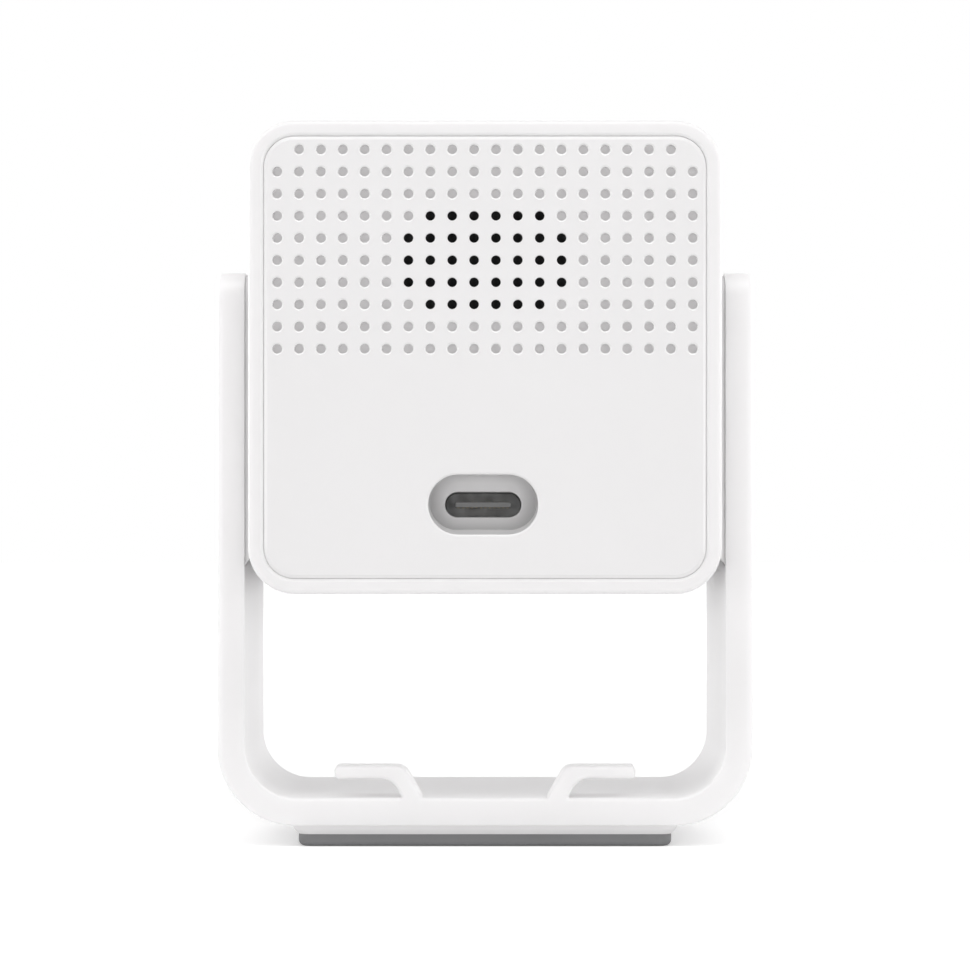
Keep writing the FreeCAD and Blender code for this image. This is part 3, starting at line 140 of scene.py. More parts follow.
class Recipe:
    """The nodes of one material, or of the world."""

    def __init__(self, owner):
        owner.use_nodes = True
        self.owner, self.nodes, self.link = owner, owner.node_tree.nodes, owner.node_tree.links.new

    def feed(self, socket, value):
        """Joins an input to another node's output, or gives it a plain value."""
        if isinstance(value, bpy.types.NodeSocket):
            self.link(value, socket)
        else:
            socket.default_value = value

    def add(self, kind, *inputs, **settings):
        """Adds a node. Inputs are given in their order, or by name with underscores, as properties are."""
        node = self.nodes.new("ShaderNode" + kind)
        for key, value in settings.items():
            if hasattr(node, key):
                setattr(node, key, value)
            else:
                self.feed(node.inputs[key.replace("_", " ")], value)
        for socket, value in zip(node.inputs, inputs):
            self.feed(socket, value)
        return node

    def place(self):
        """The part's own coordinates, in metres."""
        return self.add("TexCoord").outputs["Object"]

    def maths(self, operation, *values):
        """A number worked out from one or two others."""
        return self.add("Math", *values, operation=operation).outputs["Value"]

    def length(self, first, second):
        """The length of a step whose two parts are given: the root of the sum of their squares."""
        squares = [self.maths("MULTIPLY", part, part) for part in (first, second)]
        return self.maths("SQRT", self.maths("ADD", *squares))

    def spread(self, value, low, high, start=0.0, end=1.0, **settings):
        """Turns a value from start to end into one from low to high, and holds it between them."""
        ends = {"From_Min": start, "From_Max": end, "To_Min": low, "To_Max": high}
        return self.add("MapRange", Value=value, **ends, **settings).outputs["Result"]

    def noise(self, place, scale, detail):
        """Clouds about 1 / scale metres wide."""
        return self.add("TexNoise", Vector=place, Scale=scale, Detail=detail).outputs["Fac"]

    def varied(self, place, scale, low, high, detail=2.0):
        """Noise in the part's coordinates, spread between two values."""
        return self.spread(self.noise(place, scale, detail), low, high, *NOISE_RANGE)

    def tinted(self, amount, dark, light):
        """A colour between two, by an amount from 0 to 1."""
        ends = {"A": (*dark, 1.0), "B": (*light, 1.0)}
        return self.add("Mix", data_type="RGBA", Factor=amount, **ends).outputs["Result"]

    def relief(self, height, rise):
        """The normal of a surface that rises by so many metres where the height is 1."""
        return self.add("Bump", Strength=1.0, Distance=rise, Height=height).outputs["Normal"]

    def looked_at(self):
        """1 where the camera looks, also in a reflection or through glass, and 0 where light falls."""
        path = self.add("LightPath").outputs
        seen = self.maths("MAXIMUM", path["Is Camera Ray"], path["Is Glossy Ray"])
        return self.maths("MAXIMUM", seen, path["Is Transmission Ray"])

    def done(self, shader):
        """Leads a shader to the material's output."""
        self.add("OutputMaterial", Surface=shader)
        return self.owner

    def principled(self, **inputs):
        """Leads a Principled shader with these inputs to the output."""
        return self.done(self.add("BsdfPrincipled", **inputs).outputs["BSDF"])


def new_material(name):
    """The empty recipe of a new material."""
    recipe = Recipe(bpy.data.materials.new(name))
    recipe.nodes.clear()
    return recipe


print("a recipe knows", ", ".join(word for word in vars(Recipe) if not word.startswith("_")))

# %% [markdown]
# ## Floor and light
#
# A white product on white is lit as in a light tent: soft light from all round, and most of it from one wide
# strip high over the photographer's head, so that every edge that turns up grows lighter and each dot gets
# its bright lower rim. Six low boxes stand round the object. Being low, they send light under the head, onto
# the floor of the stand and the inside of its arms, and leave the top of the head alone. The two in front
# are the lowest, for the head's lower edge.
#
# The world is the tent's cloth. It is plain white wherever the camera or a reflection looks at it, and
# darker as a lamp. The floor adds a little white of its own for the same eyes only, more of it further out:
# it reads as white paper, and the shadow that the object drops on it stays.

# %% Floor
FLOOR_SIZE, FLOOR_WHITE, FLOOR_DRIFT, FLOOR_GRAIN = 6.0, 0.92, 0.01, 900.0
LIFT_NEAR, LIFT_FAR, NEAR, FAR = 0.30, 0.68, 0.12, 0.8


def paper_floor():
    """Matt white paper, plus a little light that only the camera and reflections see."""
    recipe = new_material("paper_floor")
    grain = recipe.add("TexNoise", Scale=FLOOR_GRAIN, Detail=3.0).outputs["Fac"]
    tone = recipe.spread(grain, FLOOR_WHITE - FLOOR_DRIFT, FLOOR_WHITE)
    paper = recipe.add("BsdfDiffuse", Color=tone).outputs["BSDF"]
    away = recipe.add("VectorMath", recipe.place(), operation="LENGTH").outputs["Value"]
    rising = recipe.spread(away, LIFT_NEAR, LIFT_FAR, NEAR, FAR, interpolation_type="SMOOTHSTEP")
    lift = recipe.maths("MULTIPLY", rising, recipe.looked_at())
    glow = recipe.add("Emission", Strength=lift).outputs["Emission"]
    return recipe.done(recipe.add("AddShader", paper, glow).outputs["Shader"])


floor_mesh = bpy.data.meshes.new("floor")
reach = FLOOR_SIZE / 2
corners = [(-reach, -reach, 0), (reach, -reach, 0), (reach, reach, 0), (-reach, reach, 0)]
floor_mesh.from_pydata(corners, [], [(0, 1, 2, 3)])
floor_mesh.materials.append(paper_floor())
floor = bpy.data.objects.new("floor", floor_mesh)
bpy.context.scene.collection.objects.link(floor)
floor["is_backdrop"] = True
print("the floor is", FLOOR_SIZE, "m square")

# %% World and softboxes
TENT_LIGHT = 0.42
SOFTBOXES = [
    # name, place in metres, width and height in metres, power in watts
    ("top_box", (0.0, 0.40, 0.66), (1.4, 0.3), 3.6),
    ("front_left_box", (0.55, 0.65, 0.07), (0.5, 0.12), 0.6),
    ("front_right_box", (-0.55, 0.65, 0.07), (0.5, 0.12), 0.6),
    ("left_box", (0.75, 0.10, 0.16), (0.5, 0.3), 0.42),
    ("right_box", (-0.75, 0.10, 0.16), (0.5, 0.3), 0.42),
    ("back_left_box", (0.60, -0.45, 0.18), (0.8, 0.34), 1.7),
    ("back_right_box", (-0.60, -0.45, 0.18), (0.8, 0.34), 1.7),
]


def light_tent():
    """White for whoever looks at it, and a shade darker for what it lights."""
    recipe = Recipe(bpy.data.worlds.new("light_tent"))
    background = recipe.nodes["Background"].inputs
    recipe.feed(background["Color"], (1.0, 1.0, 1.0, 1.0))
    recipe.feed(background["Strength"], recipe.spread(recipe.looked_at(), TENT_LIGHT, 1.0))
    bpy.context.scene.world = recipe.owner


light_tent()
for name, place, (width, height), power in SOFTBOXES:
    lamp = bpy.data.lights.new(name, "AREA")
    lamp.shape, lamp.size, lamp.size_y, lamp.energy = "RECTANGLE", width, height, power
    softbox = bpy.data.objects.new(name, lamp)
    softbox.location = place
    target = Vector((0.0, 0.0, PIVOT_Z * MM))
    softbox.rotation_euler = (target - Vector(place)).to_track_quat("-Z", "Y").to_euler()
    bpy.context.scene.collection.objects.link(softbox)
print("lamps:", ", ".join(box[0] for box in SOFTBOXES))

# %% [markdown]
# ## Drawing with outlines and profiles
#
# A moulded part is drawn twice: once as an outline seen from the front, and once as the profile of its
# edge. Carrying the profile along the outline gives the whole skin of the part, with every rounding true.
# Both are the same kind of drawing, a path of straight stretches joined by arcs, so one function makes both.

# %% Paths of straight stretches and arcs
LEAST_TURN, LEAST_STEP = 1e-6, 1e-7      # radians and millimetres: less than this is nothing


def right_of(way):
    """The direction to the right of a 2-D direction: a quarter turn clockwise."""
    return np.array([way[1], -way[0]])


def straight(start, end):
    """A straight stretch: its two ends and the normal at both."""
    across = right_of(end - start)
    return np.array([start, end]), np.array([across, across]) / np.linalg.norm(across)


def rounded_path(corners, closed=False, steps=6):
    """A path through corners (u, v, radius), as a list of stretches (points, normals).

    At each corner an arc touches both sides. With turn for the angle by which the path turns there, the arc
    starts radius * tan(turn / 2) before the corner, and its centre lies one radius to the inner side of that
    point. The normals point to the right of the way that the path runs. Stretches are straight or arcs."""
    spots = [np.array(corner[:2], float) for corner in corners]
    radii = [corner[2] if len(corner) > 2 else 0.0 for corner in corners]
    count = len(spots)
    stretches, first_start, last_end = [], None, None
    for i in range(count):
        ends_here = not closed and i in (0, count - 1)
        start = end = spots[i]
        arc = None
        if not ends_here:
            before, after = spots[i] - spots[i - 1], spots[(i + 1) % count] - spots[i]
            before, after = before / np.linalg.norm(before), after / np.linalg.norm(after)
            turn = math.atan2(before[0] * after[1] - before[1] * after[0], before @ after)
            if radii[i] > 0 and abs(turn) > LEAST_TURN:
                side = math.copysign(1.0, turn)
                start = spots[i] - before * radii[i] * math.tan(abs(turn) / 2)
                centre = start - side * right_of(before) * radii[i]
                angles = math.atan2(*(start - centre)[::-1]) + np.linspace(0, turn, steps + 1)
                spokes = np.stack([np.cos(angles), np.sin(angles)], 1)
                arc = (centre + spokes * radii[i], spokes * side)
                end = arc[0][-1]
        if last_end is None:
            first_start = start
        elif np.linalg.norm(start - last_end) > LEAST_STEP:
            stretches.append(straight(last_end, start))
        if arc is not None:
            stretches.append(arc)
        last_end = end
    if closed:
        stretches.append(straight(last_end, first_start))
    return stretches


def joined(stretches):
    """One list of points and normals for a smooth closed path: its arcs, whose ends the straights share."""
    arcs = [stretch for stretch in stretches if len(stretch[0]) > 2]
    return np.concatenate([a[0] for a in arcs]), np.concatenate([a[1] for a in arcs])


def rounded_rectangle(width, height, radius, centre=(0.0, 0.0), steps=12):
    """A closed outline, anticlockwise, with normals that point outwards."""
    (u, v), half_w, half_h = centre, width / 2, height / 2
    ways = [(-1, -1), (1, -1), (1, 1), (-1, 1)]
    corners = [(u + way_u * half_w, v + way_v * half_h, radius) for way_u, way_v in ways]
    return joined(rounded_path(corners, closed=True, steps=steps))


def stadium(length, height, centre=(0.0, 0.0), steps=24):
    """A closed outline of two half circles, whose ends are joined by level sides."""
    turns = np.linspace(-math.pi / 2, math.pi / 2, steps + 1)
    spokes = np.stack([np.cos(turns), np.sin(turns)], 1)
    spokes = np.concatenate([spokes, -spokes])
    middles = np.repeat([[(length - height) / 2, 0.0], [(height - length) / 2, 0.0]], steps + 1, axis=0)
    return np.array(centre) + middles + spokes * height / 2, spokes


def circle(radius, centre=(0.0, 0.0), steps=48, start=0.0):
    """A closed outline: centre plus radius times (cos, sin)."""
    angles = start + np.arange(steps) * (2 * math.pi / steps)
    spokes = np.stack([np.cos(angles), np.sin(angles)], 1)
    return np.array(centre) + radius * spokes, spokes


print("a rounded square has", len(rounded_rectangle(HEAD, HEAD, HEAD / 10)[0]), "points")

# %% [markdown]
# ## A skin: patches of surface that become one mesh
#
# Each patch is a grid of points, or a flat area with holes in it. Where patches meet they have the same
# points, so the mesh can be welded shut. Every patch also says which way its surface really faces at each
# point. The mesh keeps these true normals, so a flat face shades flat right up to a rounding, and a
# rounding of six steps shades like a perfect arc. Modelling programs guess these normals from the faces;
# here they are known from the drawing, so nothing is guessed.

# %% The plane that a drawing lies on
class Plane:
    """A drawing plane: u runs to its right, v up, and height out of it."""

    def __init__(self, right, up, origin=(0.0, 0.0, 0.0)):
        self.axes = np.array([right, up, np.cross(right, up)], float)
        self.origin = np.array(origin, float)

    def directions(self, flat, height):
        """Directions in space for an array of (u, v) and a height or an array of heights."""
        height = np.broadcast_to(np.asarray(height, float), flat.shape[:-1])
        return np.concatenate([flat, height[..., None]], -1) @ self.axes

    def points(self, flat, height):
        """Points in space: the directions, from the plane's origin."""
        return self.origin + self.directions(flat, height)


LENS_AXIS = (0.0, 0.0, PIVOT_Z)
BACK = Plane((-1, 0, 0), (0, 0, 1), LENS_AXIS)     # height is Y
FRONT = Plane((1, 0, 0), (0, 0, 1), LENS_AXIS)     # height is the distance ahead, minus Y
LEFT = Plane((0, 1, 0), (0, 0, 1), LENS_AXIS)      # height is X: the arm at the left of the picture
RIGHT = Plane((0, -1, 0), (0, 0, 1), LENS_AXIS)    # height is minus X
OVER = Plane((1, 0, 0), (0, 1, 0), LENS_AXIS)      # height is the distance above the lens's axis
UNDER = Plane((1, 0, 0), (0, -1, 0), LENS_AXIS)    # height is the distance below it
UPWARDS = Plane((1, 0, 0), (0, 1, 0))              # height is Z
DOWNWARDS = Plane((1, 0, 0), (0, -1, 0))           # height is minus Z
FROM_FRONT = Plane((1, 0, 0), (0, 0, 1))           # v is Z, height is the distance ahead
print("the back's plane has its height along", BACK.axes[2])

# %% The skin
WELD, WELD_SHIFT = 1e-4, 0.37      # cells in millimetres, moved off round sizes by a part of a cell
FLAT, CUT_PRECISION = 1e-12, 1e-7


class Skin:
    """Patches of surface that become one piece."""

    def __init__(self):
        self.points, self.normals, self.faces, self.finishes, self.count = [], [], [], [], 0

    def add(self, points, normals, faces, finish):
        """Takes in points, their normals and faces of four corners, wound to agree with the normals."""
        corners, facing = points[faces], normals[faces].sum(1)
        across = np.cross(corners[:, 2] - corners[:, 0], corners[:, 3] - corners[:, 1])
        thin = np.linalg.norm(across, axis=1) < FLAT
        first, second = corners[thin, 1] - corners[thin, 0], corners[thin, 2] - corners[thin, 0]
        across[thin] = np.cross(first, second)
        wrong = (across * facing).sum(1) < 0
        faces = np.where(wrong[:, None], faces[:, ::-1], faces)
        self.points.append(points)
        self.normals.append(normals)
        self.faces.append(faces + self.count)
        self.finishes.append(np.full(len(faces), finish))
        self.count += len(points)

    def grid(self, points, normals, around=False, finish=0):
        """A patch of rows and columns; with around, each row closes into a ring."""
        rows, columns = points.shape[:2]
        index = np.arange(rows * columns).reshape(rows, columns)
        if around:
            index = np.concatenate([index, index[:, :1]], 1)
        faces = np.stack([index[:-1, :-1], index[:-1, 1:], index[1:, 1:], index[1:, :-1]], -1).reshape(-1, 4)
        self.add(points.reshape(-1, 3), normals.reshape(-1, 3), faces, finish)

    def carry(self, plane, outline, profile, around=True, finish=0):
        """The profile's (out, height) carried along an outline: point = outline + out * normal, at height.

        A profile is walked with the material on its left, so that its own normals point out of it."""
        base, aside = outline
        for drawn, facing in profile:
            flat = base[None] + aside[None] * drawn[:, None, :1]
            height = np.repeat(drawn[:, 1:], len(base), 1)
            normal_flat = aside[None] * facing[:, None, :1]
            normal_height = np.repeat(facing[:, 1:], len(base), 1)
            facing_out = plane.directions(normal_flat, normal_height)
            self.grid(plane.points(flat, height), facing_out, around, finish)

    def fill(self, plane, height, outlines, out=1.0, finish=0):
        """The flat area inside the first outline and outside the others, cut into Delaunay triangles.

        A triangle counts as inside if a level ray from its middle crosses the outlines an odd number of
        times, which is worked out for all triangles and all sides at once."""
        loops = [np.asarray(outline) for outline in outlines]
        flat = np.concatenate(loops)
        starts = np.cumsum([0] + [len(loop) for loop in loops])
        rings = [np.arange(start, end) for start, end in zip(starts[:-1], starts[1:])]
        sides = np.concatenate([np.stack([ring, np.roll(ring, -1)], 1) for ring in rings])
        made = delaunay_2d_cdt([Vector(p) for p in flat], sides.tolist(), [], 0, CUT_PRECISION)
        origin_of = np.array([origins[0] for origins in made[3]])
        triangles = origin_of[np.array(made[2])]
        middle = flat[triangles].mean(1)
        a, b = flat[sides[:, 0]], flat[sides[:, 1]]
        spans_ray = (a[None, :, 1] > middle[:, None, 1]) != (b[None, :, 1] > middle[:, None, 1])
        rise = np.where(np.abs(b[:, 1] - a[:, 1]) < FLAT, 1.0, b[:, 1] - a[:, 1])
        crossing = a[None, :, 0] + (middle[:, None, 1] - a[None, :, 1]) * ((b - a)[:, 0] / rise)[None]
        inside = (spans_ray & (crossing > middle[:, None, 0])).sum(1) % 2 == 1
        triangles = triangles[inside]
        faces = np.concatenate([triangles, triangles[:, 2:]], 1)
        points = plane.points(flat, height)
        normals = np.broadcast_to(plane.directions(np.zeros((1, 2)), out), points.shape)
        self.add(points, normals, faces, finish)

    def welded(self):
        """Makes points that lie together one, and drops the corners of a face that fell together.

        Returns the points, each corner's point and true normal, and each face's size and finish."""
        points, normals = np.concatenate(self.points), np.concatenate(self.normals)
        faces, finishes = np.concatenate(self.faces), np.concatenate(self.finishes)
        cells = np.floor(points / WELD + WELD_SHIFT).astype(np.int64)
        _, first, place = np.unique(cells, axis=0, return_index=True, return_inverse=True)
        corners = place.reshape(-1)[faces]
        kept = corners != np.roll(corners, -1, axis=1)
        whole = kept.sum(1) >= 3
        faces, corners, kept = faces[whole], corners[whole], kept[whole]
        facing = normals[faces[kept]]
        facing = facing / np.linalg.norm(facing, axis=1, keepdims=True)
        return points[first], corners[kept], facing, kept.sum(1), finishes[whole]

    def mesh(self, name):
        """The mesh, and how many of its edges don't join two faces, which is none in a closed skin."""
        points, corners, facing, sizes, finishes = self.welded()
        starts = np.concatenate([[0], np.cumsum(sizes)[:-1]])
        mesh = bpy.data.meshes.new(name)
        mesh.vertices.add(len(points))
        mesh.loops.add(len(corners))
        mesh.polygons.add(len(sizes))
        mesh.vertices.foreach_set("co", (points * MM).astype(np.float32).ravel())
        mesh.loops.foreach_set("vertex_index", corners.astype(np.int32))
        mesh.polygons.foreach_set("loop_start", starts.astype(np.int32))
        mesh.polygons.foreach_set("material_index", finishes.astype(np.int32))
        mesh.polygons.foreach_set("use_smooth", np.ones(len(sizes), bool))
        mesh.update(calc_edges=True)
        mesh.normals_split_custom_set(facing.tolist())
        following = np.arange(len(corners)) + 1
        following[starts + sizes - 1] = starts
        edges = np.sort(np.stack([corners, corners[following]], 1), axis=1)
        _, times = np.unique(edges, axis=0, return_counts=True)
        return mesh, int((times != 2).sum())

    def piece(self, name, body, slot, nodes, finishes):
        """Makes the mesh an object that rides on a body and stands for parts of the frame."""
        mesh, open_edges = self.mesh(name)
        for finish in finishes:
            mesh.materials.append(finish)
        made = bpy.data.objects.new(name, mesh)
        bpy.context.scene.collection.objects.link(made)
        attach(made, body)
        if nodes:
            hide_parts(*nodes)
        print(f"{name}: {len(mesh.polygons)} faces, {open_edges} open edges")
        return made


def offset(outline, out):
    """An outline's points moved along their normals."""
    return outline[0] + out * outline[1]


print(f"points within {WELD} mm of each other become one")

# %% [markdown]
# ## Blocks, turned parts and pockets
#
# Most small parts are one of three things: a block with the same outline from end to end, a turned part
# that is round about an axis, or a pocket in a flat face. Each is a profile carried along an outline, closed
# by flat ends. A turned part's outline is a single point whose normals are the spokes of a wheel.

# %% Blocks, turned parts and pockets
def chain(stretches, closed=True):
    """The stretches of a smooth path as one list of points and normals, each shared point once."""
    points = np.concatenate([stretch[0][:-1] for stretch in stretches])
    normals = np.concatenate([stretch[1][:-1] for stretch in stretches])
    if closed:
        return points, normals
    return np.concatenate([points, stretches[-1][0][-1:]]), np.concatenate([normals, stretches[-1][1][-1:]])


def block(skin, plane, outline, low, high, edge=0.0, holes=(), finish=0):
    """A closed block between two heights, with rounded edges and holes right through."""
    soft = [(0, low), (0, high)]
    bore = soft[::-1]
    if edge:
        soft = [(-edge, low), (0, low, edge), (0, high, edge), (-edge, high)]
        bore = [(edge, high), (0, high, edge), (0, low, edge), (edge, low)]
    skin.carry(plane, outline, rounded_path(soft, steps=3), finish=finish)
    for hole in holes:
        skin.carry(plane, hole, rounded_path(bore, steps=3), finish=finish)
    ends = [offset(outline, -edge), *(offset(hole, edge) for hole in holes)]
    skin.fill(plane, high, ends, finish=finish)
    skin.fill(plane, low, ends, out=-1, finish=finish)


def turned(skin, plane, profile, centre=(0.0, 0.0), around=48, steps=5):
    """A profile of (radius, height) turned about an axis square to the plane."""
    skin.carry(plane, circle(0.0, centre, around), rounded_path(profile, steps=steps))


def closed_ring(skin, plane, profile, around=96, steps=5):
    """A closed profile of (radius, height) turned about the plane's own origin."""
    skin.carry(plane, circle(0.0, steps=around), rounded_path(profile, closed=True, steps=steps))


def sunk(skin, plane, outline, face, floor):
    """A pocket with upright walls, from the face down to its floor."""
    skin.carry(plane, outline, rounded_path([(0, face), (0, floor)]))
    skin.fill(plane, floor, [outline[0]])


def hung(skin, plane, outline, face, end, bore=None, bore_end=None):
    """A boss that stands on a face that looks down, and reaches down to its end, with a blind bore."""
    skin.carry(plane, outline, rounded_path([(0, end), (0, face)]))
    skin.fill(plane, end, [outline[0]] if bore is None else [outline[0], bore[0]], out=-1)
    if bore is not None:
        skin.carry(plane, bore, rounded_path([(0, bore_end), (0, end)]))
        skin.fill(plane, bore_end, [bore[0]], out=-1)


print("a circle of", len(circle(1.0)[0]), "sides serves as the wheel of a turned part")

# %% [markdown]
# ## White moulded plastic
#
# The case and the stand are white plastic from a mould whose steel was given a very fine matt texture. Such
# a surface is even and bright, reflects softly, and has no pattern that the eye can name. Three things make
# it real rather than flat: the colour drifts by about one part in a hundred over centimetres, the gloss
# drifts a little too, and a fine grain, a tenth of a millimetre across and a few thousandths high, breaks up
# the reflections. All three are noise in the part's own coordinates, so they turn with the part.
#
# White plastic also lets light in. It spreads a little way under the surface and comes out again beside the
# spot where it went in, which softens every edge of the thick stand and of the thinner case. The back panel
# is left without it, because its dots are crisp, and it is a shade glossier than the case.

# %% Moulded plastic
WHITE = (0.868, 0.857, 0.860)
MATT, DRIFT_PER_METRE, GRAIN_PER_METRE, GRAIN_HIGH = 0.36, 55.0, 7500.0, 0.0000022


def shaded(colour, by):
    """A colour times a number."""
    return tuple(channel * by for channel in colour)


def moulded(name, colour, roughness=MATT, grain=GRAIN_HIGH, drift=0.985, deep=0.0, tone=None):
    """An even opaque material: drifting colour, drifting gloss and a fine grain.

    With deep, light spreads under the surface by about that many metres. With tone, a function of the
    recipe and its coordinates, the colour is multiplied by what that function draws."""
    recipe = new_material(name)
    place = recipe.place()
    colours = recipe.tinted(recipe.varied(place, DRIFT_PER_METRE, 0.0, 1.0), shaded(colour, drift), colour)
    if tone:
        both = {"Factor": 1.0, "A": colours, "B": tone(recipe, place)}
        colours = recipe.add("Mix", data_type="RGBA", blend_type="MULTIPLY", **both).outputs["Result"]
    under = {"Subsurface_Weight": 1.0, "Subsurface_Radius": (1.0, 1.0, 1.0), "Subsurface_Scale": deep}
    return recipe.principled(
        Base_Color=colours,
        Roughness=recipe.varied(place, DRIFT_PER_METRE * 3, roughness * 0.92, min(roughness * 1.08, 1.0)),
        Normal=recipe.relief(recipe.noise(place, GRAIN_PER_METRE, 1.0), grain),
        **(under if deep else {}),
    )


# Painted light and shade: the case and the stand take the white times 1.02 and 1.06, as painted light, and
# the back panel times 0.97, as painted shade: lighter and darker copies of one plastic, each part brought to
# its tone under these lamps.
painted_light_shell = moulded("shell_white", shaded(WHITE, 1.02), deep=0.0005)
painted_shade_panel = moulded("panel_white", shaded(WHITE, 0.97), roughness=0.22)
painted_light_stand = moulded("stand_white", shaded(WHITE, 1.06), deep=0.0012)
print("white plastic reflects", round(WHITE[0], 2), "of the light")

# %% [markdown]
# ## The back panel
#
# The back panel is a separate moulding that snaps into the case. Round it runs a hair-thin seam, a sixth of a
# millimetre deep; behind the seam a flange fills the case, so nothing dark shows through. Panel and case are
# both bevelled there by a third of a millimetre. Where such a bevel turns up, it is the bright line beside
# the seam: the panel's along the top, the case's along the bottom.
#
# It carries 198 round dots in ten rows. Each is a dimple with a bevelled rim, and the 36 in the middle are
# holes for the speaker. The bevel matters more than the dimple: its lower half faces up and draws the
# bright crescent under each dot. A hole grows wider behind a thin land, as in a moulded grille, so that its
# wall is hidden and it reads black from edge to edge. A dot is one small profile carried round a circle of
# sixteen sides, 48 faces for a dimple and 80 for a hole, because there are 198 of them.

# %% Sizes of the back panel
SHELL_WALL, SHELL_CORNER = 1.7, 5.1
DOT_FALL, SEAM_FALL = math.tan(math.radians(25)), math.tan(math.radians(19))
PANEL_GAP, PANEL_FIT, PANEL_THICK, PANEL_EDGE, PANEL_HEM = 0.09, 0.03, 1.8, 0.34, 1.0
SEAM_DEEP, SEAM_SOFT = 0.165, 0.04
DOT_R, DOT_FLARE, DOT_DEEP, DOT_SIDES = 0.53, 0.16, 0.78, 16
HOLE_R, HOLE_FLARE, HOLE_LAND, HOLE_SLOPE, HOLE_WIDER = 0.525, 0.1, 0.5, 0.1, 0.3
DOT_STEP_X, DOT_STEP_Z, DOT_TOP, DOT_ROWS, DOT_COLUMNS = 2.4, 2.43, 22.81, 10, 20
HOLES_IN_ROW = {3: 6, 4: 8, 5: 8, 6: 8, 7: 6}
SPEAKER_UP, SPEAKER_LONG, SPEAKER_TALL = 10.66, 21.6, 14.6
PORT_ASIDE, PORT_DOWN, PORT_LONG, PORT_TALL, PORT_DEEP, PORT_FLOOR = -0.2, 16.15, 12.1, 6.6, 2.6, 0.6
SOCKET_LONG, SOCKET_TALL = 8.34, 2.66
PORT_AT = (PORT_ASIDE, -PORT_DOWN)

inside_width = HEAD - 2 * SHELL_WALL
panel_face, panel_inside = CASE_BACK, CASE_BACK - PANEL_THICK
panel_outline = rounded_rectangle(
    inside_width - 2 * PANEL_GAP, inside_width - 2 * PANEL_GAP, SHELL_CORNER - SHELL_WALL - PANEL_GAP
)
print(f"the panel is {inside_width - 2 * PANEL_GAP:.1f} mm square")


def dot_places():
    """(u, v, is_hole) of every dot: a grid whose top row lacks its two end dots."""
    places = []
    for row in range(DOT_ROWS):
        columns = DOT_COLUMNS - 2 if row == 0 else DOT_COLUMNS
        for column in range(columns):
            u = (column - (columns - 1) / 2) * DOT_STEP_X
            is_hole = abs(u) < HOLES_IN_ROW.get(row, 0) / 2 * DOT_STEP_X
            places.append((u, DOT_TOP - row * DOT_STEP_Z, is_hole))
    return places


# %% [markdown]
# ## The recess's plastic
#
# The power socket sits in a recess with a floor of its own. The floor is light beside the socket and darkens
# towards the wall, more than shade alone would make it, though the floor's edge is in the shade of the wall
# at all times. So painted shade is drawn into the floor's colour, by the distance from a level line just
# above the recess's middle, and the recess's wall is greyed all over by painted shade.

# %% The recess's painted shade
# Painted shade: the floor's colour is times 0.80 beside the socket and 0.36 at the wall, the wall's times
# 0.72 all over; the lightest line lies 1.05 mm above the middle.
PAINTED_LIGHTEST_UP, PAINTED_SHADE_NEAR, PAINTED_SHADE_FAR, WALL_PAINTED_SHADE = 1.05, 0.80, 0.36, 0.72


def painted_shade_of_recess(recipe, place):
    """How light the recess's floor is, as painted shade that darkens towards the wall.

    The tone follows the distance from a level line a little above the recess's middle: the length of
    (how far x lies beyond the line's end, z), as a part of the way from the socket to the wall."""
    apart = recipe.add("SeparateXYZ", place).outputs
    aside = recipe.maths("ABSOLUTE", recipe.maths("SUBTRACT", apart["X"], -PORT_ASIDE * MM))
    beyond = recipe.maths("MAXIMUM", recipe.maths("SUBTRACT", aside, (PORT_LONG - PORT_TALL) / 2 * MM), 0.0)
    rise = recipe.maths("SUBTRACT", apart["Z"], (PIVOT_Z - PORT_DOWN + PAINTED_LIGHTEST_UP) * MM)
    near, far = SOCKET_TALL / 2 * MM, (PORT_TALL / 2 + PAINTED_LIGHTEST_UP) * MM
    return recipe.spread(recipe.length(beyond, rise), PAINTED_SHADE_NEAR, PAINTED_SHADE_FAR, near, far)


# Painted shade: the floor's colour darkens towards the wall, and the wall's colour is greyed all over.
painted_shade_recess_floor = moulded("recess_floor_white_painted_shade", WHITE, tone=painted_shade_of_recess)
painted_shade_recess_wall = moulded("recess_wall_white_painted_shade", shaded(WHITE, WALL_PAINTED_SHADE))
# The grey that this print gives the wall as its own is painted shade.
print("the recess's floor darkens towards its wall, which has a grey of its own")

# %% Dots, recess and fixings of the back panel
def dots(skin):
    """Every dot's flare and wall. Returns the outlines that they cut into the face and the inside."""
    low = panel_face - DOT_DEEP
    dimple = rounded_path([
        (DOT_FLARE, panel_face), (0, panel_face - DOT_FLARE * DOT_FALL), (0, low), (-DOT_R, low),
    ])
    land = panel_face - HOLE_LAND
    hole = rounded_path([
        (HOLE_FLARE, panel_face), (0, panel_face, HOLE_FLARE), (0, land), (HOLE_WIDER, land - HOLE_SLOPE),
        (HOLE_WIDER, panel_inside),
    ], steps=2)
    on_face, on_inside = [], []
    for u, v, is_hole in dot_places():
        radius, flare, profile = (HOLE_R, HOLE_FLARE, hole) if is_hole else (DOT_R, DOT_FLARE, dimple)
        ring = circle(radius, (u, v), DOT_SIDES, start=math.pi / DOT_SIDES)
        skin.carry(BACK, ring, profile)
        on_face.append(offset(ring, flare))
        if is_hole:
            on_inside.append(offset(ring, HOLE_WIDER))
    return on_face, on_inside


